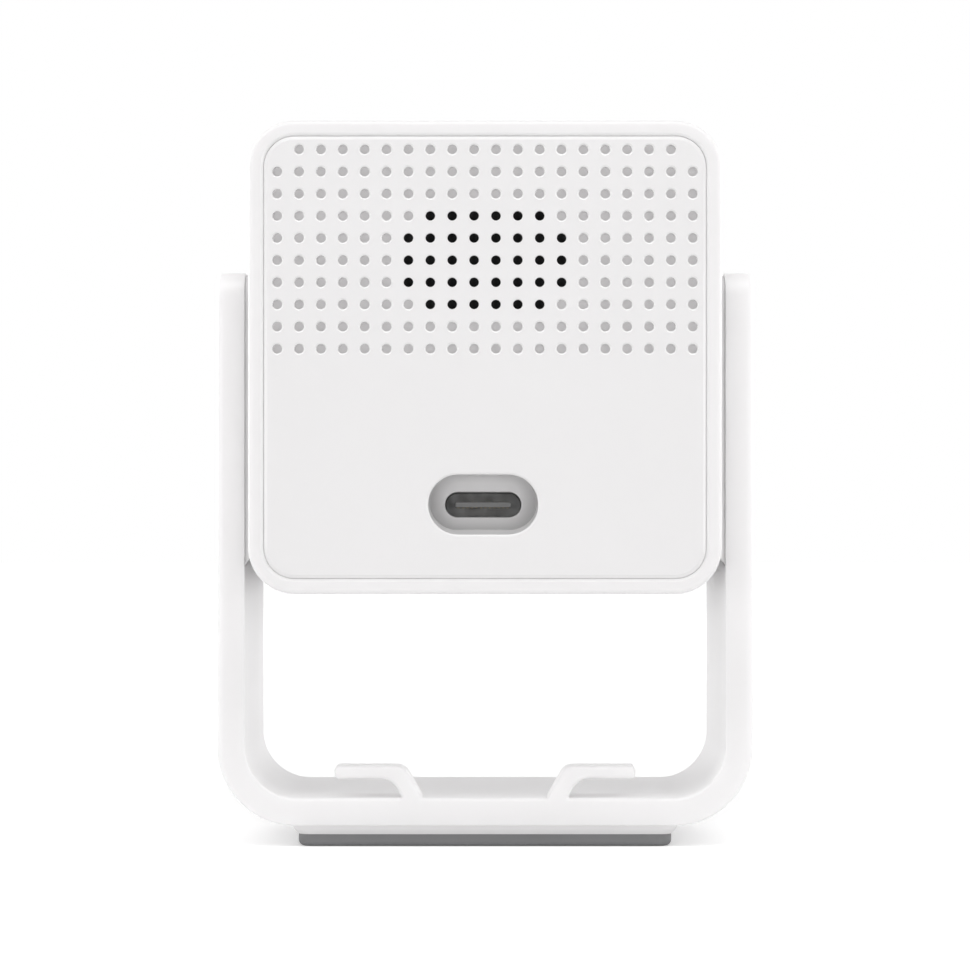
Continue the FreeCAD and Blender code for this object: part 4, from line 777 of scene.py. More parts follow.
def loft(skin, plane, first, first_height, second, second_height, finish=0):
    """A ruled wall down from one outline to another with the same normals, facing the pocket's inside.

    The wall's normal is square to the outline and to the step from the first outline to the second."""
    step = ((second[0] - first[0]) * first[1]).sum(1)
    drop = second_height - first_height
    facing = np.stack([np.full(len(step), drop), -step], 1) / np.hypot(drop, step)[:, None]
    points = np.stack([plane.points(first[0], first_height), plane.points(second[0], second_height)])
    normals = plane.directions(first[1] * facing[:, :1], facing[:, 1])
    skin.grid(points, np.stack([normals, normals]), around=True, finish=finish)


RIM_SOFT, FLOOR_SOFT, MOUTH_SOFT, SLOT_LONGER, SLOT_TALLER, PORT_WALL = 0.2, 0.15, 0.14, 0.1, 0.2, 1.5
SLANT = 0.5      # how far the recess's lower wall leans out


def port_recess(skin):
    """The recess of the power socket: a stadium whose lower wall leans outwards, with a slotted floor."""
    mouth = stadium(PORT_LONG, PORT_TALL, PORT_AT)
    floor_outline = stadium(PORT_LONG - SLANT / 2, PORT_TALL - SLANT, (PORT_ASIDE, SLANT / 2 - PORT_DOWN))
    slot = stadium(SOCKET_LONG + SLOT_LONGER, SOCKET_TALL + SLOT_TALLER, PORT_AT)
    low = panel_face - PORT_DEEP
    rim = [(RIM_SOFT, panel_face), (0, panel_face - RIM_SOFT * DOT_FALL), (0, panel_face - RIM_SOFT)]
    skin.carry(BACK, mouth, rounded_path(rim))
    # The wall takes the third material and the floor the second: both carry painted shade.
    loft(skin, BACK, mouth, panel_face - RIM_SOFT, floor_outline, low + FLOOR_SOFT, finish=2)
    bend = rounded_path([(0, low + FLOOR_SOFT), (0, low, FLOOR_SOFT), (-FLOOR_SOFT, low)])
    skin.carry(BACK, floor_outline, bend, finish=1)
    skin.fill(BACK, low, [offset(floor_outline, -FLOOR_SOFT), offset(slot, MOUTH_SOFT)], finish=1)
    lip = rounded_path([(MOUTH_SOFT, low), (0, low, MOUTH_SOFT), (0, low - PORT_FLOOR)])
    skin.carry(BACK, slot, lip, finish=1)
    boss = stadium(PORT_LONG + 2 * PORT_WALL, PORT_TALL + 2 * PORT_WALL, PORT_AT)
    skin.carry(BACK, boss, rounded_path([(0, low - PORT_FLOOR), (0, panel_inside)]))
    skin.fill(BACK, low - PORT_FLOOR, [boss[0], slot[0]], out=-1)
    return offset(mouth, RIM_SOFT), boss[0]


ROOTED = 0.4     # how far a fixing reaches into the panel
RIM_IN, RIM_OUT, RIM_ROUND, RIM_LONG = 0.1, 1.3, 3.2, 4.3
BOSS_X, BOSS_R, BOSS_LONG, BORE_R, BORE_DEEP = 13.6, 1.9, 5.5, 0.8, 4.5
SHELF_X, SHELF_DOWN, SHELF_WIDE, SHELF_TALL, SHELF_LONG = 7.2, 3.98, 3.6, 2.7, 15.8
SNAP_X, SNAP_WIDE, SNAP_IN, SNAP_THICK, SNAP_LONG = 12.0, 8.0, 0.65, 1.2, 4.8
CATCH_OUT, CATCH_THICK, CATCH_FROM, CATCH_TO = 0.05, 0.7, 4.4, 3.2


def panel_fixings(skin):
    """Inside: the rim round the speaker, the clamp's bosses, the power board's shelves and the snap arms."""
    inside, rooted = panel_inside, panel_inside + ROOTED
    outer, inner = (
        rounded_rectangle(SPEAKER_LONG + 2 * out, SPEAKER_TALL + 2 * out, RIM_ROUND, (0, SPEAKER_UP))
        for out in (RIM_OUT, RIM_IN)
    )
    block(skin, BACK, outer, inside - RIM_LONG, rooted, holes=[inner])
    end, arm_level = inside - BOSS_LONG, inside_width / 2 - PANEL_GAP
    boss = [(0, end + BORE_DEEP), (BORE_R, end + BORE_DEEP), (BORE_R, end), (BOSS_R, end), (BOSS_R, rooted)]
    for side in (-1, 1):
        turned(skin, BACK, [*boss, (0, rooted)], (side * BOSS_X, SPEAKER_UP), 24)
        shelf_at = (side * SHELF_X, -PORT_DOWN - SHELF_DOWN)
        shelf = rounded_rectangle(SHELF_WIDE, SHELF_TALL, 0.2, shelf_at, steps=2)
        block(skin, BACK, shelf, inside - SHELF_LONG, rooted)
        for way in (-1, 1):
            arm_at, catch_at = ((side * SNAP_X, way * (arm_level + out)) for out in (-SNAP_IN, CATCH_OUT))
            arm = rounded_rectangle(SNAP_WIDE, SNAP_THICK, 0.1, arm_at, steps=2)
            catch = rounded_rectangle(SNAP_WIDE, CATCH_THICK, 0.1, catch_at, steps=2)
            block(skin, BACK, arm, inside - SNAP_LONG, rooted)
            block(skin, BACK, catch, inside - CATCH_FROM, inside - CATCH_TO)


def back_panel():
    skin = Skin()
    flange, seam_floor = PANEL_GAP - PANEL_FIT, panel_face - SEAM_DEEP
    edge = rounded_path([
        (-PANEL_HEM, panel_inside), (flange, panel_inside), (flange, seam_floor), (0, seam_floor),
        (0, panel_face - PANEL_EDGE * SEAM_FALL, SEAM_SOFT), (-PANEL_EDGE, panel_face),
    ])
    skin.carry(BACK, panel_outline, edge)
    dots_on_face, holes_inside = dots(skin)
    recess_on_face, recess_inside = port_recess(skin)
    skin.fill(BACK, panel_face, [offset(panel_outline, -PANEL_EDGE), recess_on_face, *dots_on_face])
    skin.fill(BACK, panel_inside, [offset(panel_outline, -PANEL_HEM), recess_inside, *holes_inside], out=-1)
    panel_fixings(skin)
    finishes = [painted_shade_panel, painted_shade_recess_floor, painted_shade_recess_wall]
    return skin.piece("back_panel_moulding", "head", "panel_white", ["back_panel"], finishes)


back_panel()
print(len(dot_places()), "dots, of which", sum(place[2] for place in dot_places()), "are holes")

# %% [markdown]
# ## The head's case
#
# The case is one box-shaped moulding, open at the back. Its four long corners are 5.1 mm round, the edges
# at the lens side 2.4 mm, and the edge round the back panel only half a millimetre. A subdivided cube could
# come near this shape, but its corners would never be true arcs, and a shell 52 mm across shows that at
# once. So each stretch of the surface is its own patch: four corner strips, four flat sides with their
# holes, a rounding at each end, and the same again inside the wall.

# %% Sizes of the case
BACK_EDGE, FRONT_EDGE, FRONT_WALL, CAVITY_EDGE = 0.5, 2.4, 3.0, 0.34
SEAT_R, SEAT_DEEP, SEAT_LIP, LEDGE_R = 18.0, 1.6, 0.12, 15.4
SIGNAL_X, SIGNAL_DOWN, LIGHT_HOLE_R, SOUND_HOLE_R, HOLE_LIP = 4.0, 21.0, 0.85, 0.5, 0.1
JOURNAL_HOLE_R, BUTTON_HOLE_R, BUTTON_AHEAD = 3.05, 2.1, 5.8
STUD_R, STUD_DOWN, STUD_LONG, PIN_R, PIN_ASIDE, PIN_LONG = 1.0, 9.3, 1.9, 0.75, 6.0, 2.0
NOTCH_X, NOTCH_WIDE, NOTCH_TALL, NOTCH_DEEP, NOTCH_AHEAD = 12.0, 8.6, 1.7, 0.6, 5.75
PILLAR_AT, PILLAR_END, PILLAR_R, PILLAR_BORE_R, PILLAR_BORE_DEEP = 20.2, 18.0, 2.6, 0.8, 4.5
flat_half = HEAD / 2 - SHELL_CORNER
case_outline = rounded_rectangle(HEAD, HEAD, SHELL_CORNER)
cavity_outline = rounded_rectangle(inside_width, inside_width, SHELL_CORNER - SHELL_WALL)
print(f"each side has {2 * flat_half:.1f} mm of flat between its corners")


def corner_strips(skin, outline, front, back, facing):
    """The four round corners of a box, each a strip from front to back along Y."""
    base, aside = (part.reshape(4, -1, 2) for part in outline)
    for arc, normal in zip(base, aside):
        rows = np.stack([BACK.points(arc, -front), BACK.points(arc, back)])
        skin.grid(rows, np.stack([BACK.directions(normal, 0)] * 2) * facing)


def box_side(plane, front, back):
    """A side's flat, as the plane sees it, between the lens side and the back."""
    ahead = plane.axes @ np.array([0.0, -1.0, 0.0])
    along = int(np.argmax(np.abs(ahead[:2])))
    ends = sorted((front * ahead[along], -back * ahead[along]))
    low, high = -flat_half, flat_half
    corners = np.array([(ends[0], low), (ends[1], low), (ends[1], high), (ends[0], high)])
    return corners if along == 0 else corners[:, ::-1][::-1]


# %% The case's outside, wall and inside
def case_sides(skin):
    """The flats outside and inside, with the holes for the journals and the reset button."""
    front, back = CASE_FRONT - FRONT_EDGE, CASE_BACK - BACK_EDGE
    deep_front, deep_back = CASE_FRONT - FRONT_WALL, CASE_BACK - CAVITY_EDGE
    out, inner = HEAD / 2, HEAD / 2 - SHELL_WALL
    for plane in (LEFT, RIGHT):
        journal, stud = circle(JOURNAL_HOLE_R, steps=40), circle(STUD_R, (0, -STUD_DOWN), 24)
        pins = [circle(PIN_R, (side * PIN_ASIDE, 0), 16) for side in (-1, 1)]
        skin.fill(plane, out, [box_side(plane, front, back), journal[0], stud[0]])
        inside_holes = [journal[0], *(pin[0] for pin in pins)]
        skin.fill(plane, inner, [box_side(plane, deep_front, deep_back), *inside_holes], out=-1)
        skin.carry(plane, journal, rounded_path([(0, out), (0, inner)]))
        stud_end = out + STUD_LONG
        skin.carry(plane, stud, rounded_path([(0, out), (0, stud_end, 0.2), (-STUD_R, stud_end)]))
        for pin in pins:
            hung(skin, plane, pin, inner, inner - PIN_LONG)
    button = circle(BUTTON_HOLE_R, (0, BUTTON_AHEAD), 40)
    for plane, way, holes in ((OVER, 1, []), (UNDER, -1, [button])):
        skin.fill(plane, out, [box_side(plane, front, back), *(offset(hole, HOLE_LIP) for hole in holes)])
        places = [(side * NOTCH_X, way * (CASE_BACK - NOTCH_AHEAD)) for side in (-1, 1)]
        notches = [rounded_rectangle(NOTCH_WIDE, NOTCH_TALL, 0.2, place, steps=3) for place in places]
        inner_holes = [hole[0] for hole in (*holes, *notches)]
        skin.fill(plane, inner, [box_side(plane, deep_front, deep_back), *inner_holes], out=-1)
        for hole in holes:
            skin.carry(plane, hole, rounded_path([(HOLE_LIP, out), (0, out, HOLE_LIP), (0, inner)]))
        for notch in notches:
            skin.carry(plane, notch, rounded_path([(0, inner + NOTCH_DEEP), (0, inner)]))
            skin.fill(plane, inner + NOTCH_DEEP, [notch[0]], out=-1)
    corner_strips(skin, case_outline, front, back, 1.0)
    corner_strips(skin, cavity_outline, deep_front, deep_back, -1.0)


def case_front(skin):
    """The face round the window, the window's seat, and the inside of the front wall with its pillars."""
    face, wall_in = CASE_FRONT, CASE_FRONT - FRONT_WALL
    skin.carry(FRONT, case_outline, rounded_path([
        (0, face - FRONT_EDGE), (0, face, FRONT_EDGE), (-FRONT_EDGE, face),
    ], steps=10))
    seat = circle(SEAT_R, steps=128)
    skin.carry(FRONT, seat, rounded_path([
        (SEAT_LIP, face), (0, face, SEAT_LIP), (0, face - SEAT_DEEP), (LEDGE_R - SEAT_R, face - SEAT_DEEP),
        (LEDGE_R - SEAT_R, wall_in),
    ]))
    holes = ((LIGHT_HOLE_R, -SIGNAL_X), (SOUND_HOLE_R, SIGNAL_X))
    signals = [circle(radius, (u, -SIGNAL_DOWN), 32) for radius, u in holes]
    for hole in signals:
        skin.carry(FRONT, hole, rounded_path([(HOLE_LIP, face), (0, face, HOLE_LIP), (0, wall_in)]))
    openings = [offset(seat, SEAT_LIP), *(offset(hole, HOLE_LIP) for hole in signals)]
    skin.fill(FRONT, face, [offset(case_outline, -FRONT_EDGE), *openings])
    pillars = [(u * PILLAR_AT, v * PILLAR_AT) for u in (-1, 1) for v in (-1, 1)]
    feet = [circle(PILLAR_R, place, 32) for place in pillars]
    for place, foot in zip(pillars, feet):
        bore = circle(PILLAR_BORE_R, place, 20)
        hung(skin, FRONT, foot, wall_in, PILLAR_END, bore, PILLAR_END + PILLAR_BORE_DEEP)
    inner_holes = [offset(seat, LEDGE_R - SEAT_R), *(hole[0] for hole in (*signals, *feet))]
    skin.fill(FRONT, wall_in, [cavity_outline[0], *inner_holes], out=-1)


def head_case():
    skin = Skin()
    skin.carry(BACK, case_outline, rounded_path([
        (0, CASE_BACK - BACK_EDGE), (0, CASE_BACK, BACK_EDGE), (-BACK_EDGE, CASE_BACK),
    ]))
    skin.fill(BACK, CASE_BACK, [offset(case_outline, -BACK_EDGE), offset(cavity_outline, CAVITY_EDGE)])
    skin.carry(BACK, cavity_outline, rounded_path([
        (CAVITY_EDGE, CASE_BACK), (0, CASE_BACK - CAVITY_EDGE * SEAM_FALL, SEAM_SOFT),
        (0, CASE_BACK - CAVITY_EDGE),
    ], steps=3))
    case_sides(skin)
    case_front(skin)
    return skin.piece("head_case", "head", "shell_white", ["head_shell"], [painted_light_shell])


head_case()

# %% [markdown]
# ## The stand
#
# The stand is one strip of plastic, 30 mm wide and 3.2 mm thick, that runs down one arm, round a bend,
# along the floor and up the other arm. Seen from the side each arm ends in two rounded corners. Two small
# hooks grow out of the back edge of the floor; they hold the power lead. Their back faces are flush with the
# band's, and one unbroken rounding runs along the band, up and round each hook, and on along the band.
#
# The band's section is carried round the bends. The arms are drawn from the side, because their ends are
# round that way. The arms are rounder on the outside than the floor is underneath, so round a bend each
# radius passes over into the other. At a hook the section changes, so there the back face, the rounding, the
# hook's wall and its front face are patches of their own. A hook's front rounding runs on for a third of a
# millimetre under the floor's surface, where nobody sees it, which saves a fiddly corner.
#
# Between arm and head is a gap of over a millimetre. In the picture it is light, not black: something white
# fills it just below the edge. So each arm has a low rib along its back edge, which steadies the head from
# the side and leaves it a play of a twentieth of a millimetre.

# %% Sizes of the stand
BAND_THICK, BAND_EDGE, BEND_R = 3.2, 0.45, 9.0
ARM_OUT_EDGE, ARM_IN_EDGE, LOW_EDGE = 0.75, 0.12, 0.2
ARM_ROUND, CAP_SEAT_R, CAP_SEAT_DEEP, SLEEVE_R = 2.6, 6.5, 2.15, 4.0
STOP_RING, STOP_HALF, STOP_DEEP = 9.3, 1.15, 0.8
HOOK_DEEP, HOOK_FRONT_EDGE, ROOT_R = 4.5, 0.35, 0.12
RIB_INSIDE, RIB_BEHIND, RIB_PLAY, RIB_FULL, RIB_OUT = 11.2, 0.35, 0.05, 33.8, 32.0
RIB_ROUND, RIB_ROOTED, PILOT_R, PILOT_DEEP, BESIDE_HOOK = 0.2, 0.1, 0.9, 2.2, (11.0, 5.0)
SCREWS_AT = [(x, y) for x in (-16, 16) for y in (-9, 9)]
HOOK_CORNERS = [
    # x, height above the floor of the stand, radius: up the outside of the stem, round the finger, and down
    (9.45, 0.0, ROOT_R), (10.65, 2.15, 2.2), (17.1, 2.15, 0.5),
    (17.1, 3.6, 0.5), (9.11, 3.6, 1.6), (7.1, 0.0, ROOT_R),
]
arm_in, floor_top, bend_at = ARM_OUT - BAND_THICK, BAND_UNDER + BAND_THICK, ARM_OUT - BEND_R
print(f"floor from {BAND_UNDER:.2f} to {floor_top:.2f} mm, arms from x = {arm_in:.1f} to {ARM_OUT:.1f} mm")

EDGE_STEPS = 6


def arc_slot(ring, half_width, steps=24, end_steps=8):
    """A slot along the lower half of a ring: two half rings joined by two round ends."""
    turns = [np.linspace(math.pi, 2 * math.pi, steps), np.linspace(0, math.pi, end_steps + 2)[1:-1]]
    outer = np.stack([np.cos(turns[0]), np.sin(turns[0])], 1)
    cap = np.stack([np.cos(turns[1]), np.sin(turns[1])], 1)
    points = [outer * (ring + half_width), cap * half_width + [ring, 0.0]]
    points += [outer[::-1] * (ring - half_width), cap * half_width - [ring, 0.0]]
    return np.concatenate(points), np.concatenate([outer, cap, -outer[::-1], cap])


# %% Arms, bends and floor of the stand
def arm(skin, plane):
    """One arm above its bend, seen along X: the long edges with the rounded end, and its two flats."""
    low, top = BAND_UNDER + BEND_R - PIVOT_Z, ARM_TOP - PIVOT_Z
    rim = chain(rounded_path([
        (BAND_HALF, low), (BAND_HALF, top, ARM_ROUND), (-BAND_HALF, top, ARM_ROUND), (-BAND_HALF, low),
    ], steps=12), closed=False)
    skin.carry(plane, rim, rounded_path([
        (-ARM_IN_EDGE, arm_in), (0, arm_in, ARM_IN_EDGE),
        (0, ARM_OUT, ARM_OUT_EDGE), (-ARM_OUT_EDGE, ARM_OUT),
    ], steps=EDGE_STEPS), around=False)
    seat, slot, lip = circle(CAP_SEAT_R, steps=72), arc_slot(STOP_RING, STOP_HALF), 0.12
    skin.carry(plane, seat, rounded_path([
        (lip, ARM_OUT), (0, ARM_OUT, lip), (0, ARM_OUT - CAP_SEAT_DEEP),
        (SLEEVE_R - CAP_SEAT_R, ARM_OUT - CAP_SEAT_DEEP), (SLEEVE_R - CAP_SEAT_R, arm_in),
    ]))
    skin.fill(plane, ARM_OUT, [offset(rim, -ARM_OUT_EDGE), offset(seat, lip)])
    openings = [offset(seat, SLEEVE_R - CAP_SEAT_R), slot[0]]
    skin.fill(plane, arm_in, [offset(rim, -ARM_IN_EDGE), *openings], out=-1)
    skin.carry(plane, slot, rounded_path([(0, arm_in + STOP_DEEP), (0, arm_in)]))
    skin.fill(plane, arm_in + STOP_DEEP, [slot[0]], out=-1)


def guide_rib(skin, plane, way):
    """A low rib along one edge of an arm's inner face, which ends in a short ramp at the head's corner.

    Its height over the arm is its full height times (z - RIB_OUT) / (RIB_FULL - RIB_OUT), from 0 to 1."""
    inner, outer = way * RIB_INSIDE, way * (BAND_HALF - RIB_BEHIND)
    low, full, top = RIB_OUT - PIVOT_Z, RIB_FULL - PIVOT_Z, ARM_TOP - RIB_BEHIND - PIVOT_Z
    corners = [
        (inner, low, RIB_ROUND), (outer, low, RIB_ROUND), (outer, full), (outer, top, ARM_ROUND - RIB_BEHIND),
        (inner, top, RIB_ROUND), (inner, full),
    ]
    points, normals = chain(rounded_path(corners[::way], closed=True, steps=8))
    share = np.clip((points[:, 1] - low) / (full - low), 0.0, 1.0)
    face = arm_in + (HEAD / 2 + RIB_PLAY - arm_in) * share
    rows = np.stack([plane.points(points, arm_in + RIB_ROOTED), plane.points(points, face)])
    skin.grid(rows, np.stack([plane.directions(normals, 0.0)] * 2), around=True)
    skin.fill(plane, face, [points], out=-1)
    skin.fill(plane, arm_in + RIB_ROOTED, [points])


def bends(skin):
    """The band's whole section, carried round the quarter circles under the arms.

    Its edges have other radii on the floor than on the arms. At each step of the bend the section is the
    floor's section times (1 - share) plus the arm's times share, with share growing from 0 to 1."""
    floor_section, arm_section = (
        rounded_path([
            (0, -BAND_HALF, outside), (0, BAND_HALF, outside), (-BAND_THICK, BAND_HALF, inside),
            (-BAND_THICK, -BAND_HALF, inside),
        ], closed=True, steps=EDGE_STEPS)
        for outside, inside in ((LOW_EDGE, BAND_EDGE), (ARM_OUT_EDGE, ARM_IN_EDGE))
    )
    share = np.linspace(0, 1, 25)[:, None]
    turns = (share[:, 0] - 1) * math.pi / 2
    for side in (-1, 1):
        spokes = np.stack([side * np.cos(turns), np.sin(turns)], 1)
        arc = np.array([side * bend_at, BAND_UNDER + BEND_R]) + BEND_R * spokes
        for (on_floor, facing), (on_arm, _) in zip(floor_section, arm_section):
            drawn = on_floor[:, None] * (1 - share) + on_arm[:, None] * share
            facing = np.repeat(facing[:, None], len(share), 1)
            places = FROM_FRONT.points(arc + spokes * drawn[..., :1], drawn[..., 1])
            skin.grid(places, FROM_FRONT.directions(spokes * facing[..., :1], facing[..., 1]))


def floor_strip(skin, notches):
    """The floor between the bends: its front edges, its lower back edge, its underside and its top."""
    line = np.array([[bend_at, floor_top], [-bend_at, floor_top]])
    path = (line, np.array([[0.0, 1.0], [0.0, 1.0]]))
    skin.carry(FROM_FRONT, path, rounded_path([
        (0, BAND_HALF - BAND_EDGE), (0, BAND_HALF, BAND_EDGE), (-BAND_THICK, BAND_HALF, LOW_EDGE),
        (-BAND_THICK, BAND_HALF - LOW_EDGE),
    ], steps=EDGE_STEPS), around=False)
    skin.carry(FROM_FRONT, path, rounded_path([
        (-BAND_THICK, LOW_EDGE - BAND_HALF), (-BAND_THICK, -BAND_HALF, LOW_EDGE),
        (LOW_EDGE - BAND_THICK, -BAND_HALF),
    ], steps=EDGE_STEPS), around=False)
    low = BAND_HALF - LOW_EDGE
    under = np.array([(-bend_at, -low), (bend_at, -low), (bend_at, low), (-bend_at, low)])
    holes = [circle(PILOT_R, place, 24) for place in SCREWS_AT]
    skin.fill(DOWNWARDS, -BAND_UNDER, [under, *(hole[0] for hole in holes)])
    for hole in holes:
        sunk(skin, DOWNWARDS, hole, -BAND_UNDER, -BAND_UNDER - PILOT_DEEP)
    flat = BAND_HALF - BAND_EDGE
    top = [(-bend_at, -flat), (bend_at, -flat), (bend_at, flat)]
    for far, near in notches:
        stop = BAND_HALF - HOOK_DEEP + HOOK_FRONT_EDGE
        top += [(far, flat), (far, stop), (near, stop), (near, flat)]
    skin.fill(UPWARDS, floor_top, [np.array([*top, (-bend_at, flat)])])


# %% Hooks and back edge of the stand
def hook_path(side):
    """One hook's outline, walked so that the plastic is on its left, from floor to floor."""
    corners = [(side * x, floor_top + rise, r) for x, rise, r in HOOK_CORNERS]
    ends = [(side * x, floor_top) for x in BESIDE_HOOK]
    if side < 0:
        corners, ends = corners[::-1], ends[::-1]
    stretches = rounded_path([ends[0], *corners, ends[1]], steps=10)[1:-1]
    return chain(stretches, closed=False)


def stand():
    skin = Skin()
    for plane, towards_back in ((LEFT, 1), (RIGHT, -1)):
        arm(skin, plane)
        guide_rib(skin, plane, towards_back)
    bends(skin)
    hooks = [hook_path(1), hook_path(-1)]
    notches = [(hook[0][0, 0], hook[0][-1, 0]) for hook in hooks]
    floor_strip(skin, notches)
    edge = [(-BAND_EDGE, -BAND_HALF), (0, -BAND_HALF, BAND_EDGE), (0, BAND_EDGE - BAND_HALF)]
    up = np.array([[0.0, 1.0], [0.0, 1.0]])
    stops = [bend_at, *(x for notch in notches for x in notch), -bend_at]
    for start, end in zip(stops[::2], stops[1::2]):
        plain = (np.array([[start, floor_top], [end, floor_top]]), up)
        skin.carry(FROM_FRONT, plain, rounded_path(edge, steps=EDGE_STEPS), around=False)
    hook_front = HOOK_DEEP - BAND_HALF
    front_edge = [
        (0, hook_front - HOOK_FRONT_EDGE), (0, hook_front, HOOK_FRONT_EDGE), (-HOOK_FRONT_EDGE, hook_front),
    ]
    for hook in hooks:
        skin.carry(FROM_FRONT, hook, rounded_path(edge, steps=EDGE_STEPS), around=False)
        wall = [(0, BAND_EDGE - BAND_HALF), *front_edge[1:]]
        skin.carry(FROM_FRONT, hook, rounded_path(wall), around=False)
        skin.fill(FROM_FRONT, hook_front, [offset(hook, -HOOK_FRONT_EDGE)])
        root = (hook[0][[0, -1]], up)
        hidden = [(drawn, -facing) for drawn, facing in rounded_path(front_edge)]
        skin.carry(FROM_FRONT, root, hidden, around=False)
    corner = [[bend_at, floor_top - BAND_EDGE]]
    along_hooks = [offset(hook, -BAND_EDGE) for hook in hooks]
    inner = np.concatenate([corner, *along_hooks, np.array(corner) * [-1, 1]])
    outer = np.array([[-bend_at, BAND_UNDER + LOW_EDGE], [bend_at, BAND_UNDER + LOW_EDGE]])
    skin.fill(FROM_FRONT, -BAND_HALF, [np.concatenate([outer, inner])], out=-1)
    return skin.piece("stand_moulding", "stand", "stand_white", ["stand_bracket"], [painted_light_stand])


stand()

# %% [markdown]
# ## Base plate, rubber foot and pivot covers
#
# Under the floor of the stand a white plate flares out in a shallow hollow curve, and a grey rubber foot is
# glued to it. The foot's lower edge is round and its underside has a shallow channel, as such feet do so
# that they don't suck themselves to the table. In each arm a white disc lies flush in its round recess; the
# hair-thin gap round it is all that shows of the pivot. Between arm and head sits the flange of the bush.
# The picture's left is the frame's right, so a cover named left stands for the frame's right_pivot_cap.

# %% Base plate and foot
PLATE_LONG, PLATE_DEEP, PLATE_CORNER, PLATE_FLARE, PLATE_LIP = 42.75, 27.5, 1.6, 0.68, 0.1
HOLLOW_OUT, HOLLOW_UP, HOLLOW_R, CREASE, SCREW_HOLE_R, SINK_WIDER = 0.5, 0.5, 1.0, 0.05, 1.2, 1.13
FOOT_LONG, FOOT_DEEP, FOOT_EDGE = 42.65, 27.4, 0.7
CHANNEL_IN, CHANNEL_WIDE, CHANNEL_DEEP = 3.0, 0.8, 0.3

# Painted shade: the base plate is the same white plastic darkened to 0.96 of it, for the shade under the
# floor of the stand.
painted_shade_base = moulded("base_white", shaded(WHITE, 0.96))
foot_finish = moulded("foot_rubber", (0.215, 0.215, 0.22), roughness=0.72, grain=0.0000045, drift=0.93)


def base_plate():
    skin = Skin()
    rim = rounded_rectangle(PLATE_LONG, PLATE_DEEP, PLATE_CORNER)
    skin.carry(UPWARDS, rim, rounded_path([
        (-PLATE_LIP, FOOT_TOP), (0, FOOT_TOP, CREASE), (HOLLOW_OUT, FOOT_TOP + HOLLOW_UP, HOLLOW_R),
        (PLATE_FLARE, BAND_UNDER - PLATE_LIP, CREASE), (PLATE_FLARE, BAND_UNDER),
    ], steps=8))
    holes = [circle(SCREW_HOLE_R, place, 40) for place in SCREWS_AT]
    sink = rounded_path([(0, BAND_UNDER), (0, BAND_UNDER - PLATE_LIP), (SINK_WIDER, FOOT_TOP)])
    for hole in holes:
        skin.carry(UPWARDS, hole, sink)
    skin.fill(UPWARDS, BAND_UNDER, [offset(rim, PLATE_FLARE), *(hole[0] for hole in holes)])
    sinks = [offset(hole, SINK_WIDER) for hole in holes]
    skin.fill(UPWARDS, FOOT_TOP, [offset(rim, -PLATE_LIP), *sinks], out=-1)
    return skin.piece("base_plate_moulding", "stand", "base_white", ["base_plate"], [painted_shade_base])


def rubber_foot():
    skin = Skin()
    rim = rounded_rectangle(FOOT_LONG, FOOT_DEEP, PLATE_CORNER)
    skin.carry(UPWARDS, rim, rounded_path([
        (-FOOT_EDGE, 0), (0, 0, FOOT_EDGE), (0, FOOT_TOP, CREASE), (-CREASE, FOOT_TOP),
    ], steps=8))
    ways = [CHANNEL_IN, CHANNEL_IN + CHANNEL_WIDE]
    outer, inner = (rounded_rectangle(FOOT_LONG - 2 * way, FOOT_DEEP - 2 * way, PLATE_CORNER) for way in ways)
    skin.carry(UPWARDS, outer, rounded_path([(0, CHANNEL_DEEP), (0, 0)]))
    skin.carry(UPWARDS, inner, rounded_path([(0, 0), (0, CHANNEL_DEEP)]))
    skin.fill(UPWARDS, CHANNEL_DEEP, [outer[0], inner[0]], out=-1)
    skin.fill(UPWARDS, 0.0, [offset(rim, -FOOT_EDGE), outer[0]], out=-1)
    skin.fill(UPWARDS, 0.0, [inner[0]], out=-1)
    skin.fill(UPWARDS, FOOT_TOP, [offset(rim, -CREASE)])
    return skin.piece("rubber_foot", "stand", "foot_rubber", ["base_foot"], [foot_finish])


base_plate()
rubber_foot()

# %% Pivot covers and bushes
CAP_R, CAP_THICK, CAP_SKIRT, CAP_WALL, TURNED_EDGE = 6.4, 0.7, 1.6, 0.45, 0.15
FLANGE_R, JOURNAL_R, RUNNING_GAP = 6.0, 3.0, 0.03

cap_finish = moulded("cap_white", WHITE)
bush_finish = moulded("bush_white", (0.83, 0.83, 0.82), roughness=0.32, grain=0.0000012)

for side, plane, frame_side in (("left", LEFT, "right"), ("right", RIGHT, "left")):
    cap, level, skirt = Skin(), ARM_OUT - CAP_THICK, ARM_OUT - CAP_SKIRT
    turned(cap, plane, [
        (0, level), (CAP_R - CAP_WALL, level), (CAP_R - CAP_WALL, skirt), (CAP_R, skirt),
        (CAP_R, ARM_OUT, TURNED_EDGE), (0, ARM_OUT),
    ], around=96)
    cap.piece(f"{side}_pivot_cover", "stand", "cap_white", [f"{frame_side}_pivot_cap"], [cap_finish])
    bush, bore, web = Skin(), JOURNAL_R + RUNNING_GAP, ARM_OUT - CAP_SEAT_DEEP
    flange = HEAD / 2 + RUNNING_GAP
    closed_ring(bush, plane, [
        (bore, flange), (FLANGE_R, flange, TURNED_EDGE), (FLANGE_R, arm_in), (SLEEVE_R, arm_in),
        (SLEEVE_R, web), (bore, web),
    ], around=64, steps=6)
    bush.piece(f"{side}_bush_turned", "stand", "bush_white", [f"{frame_side}_bush"], [bush_finish])

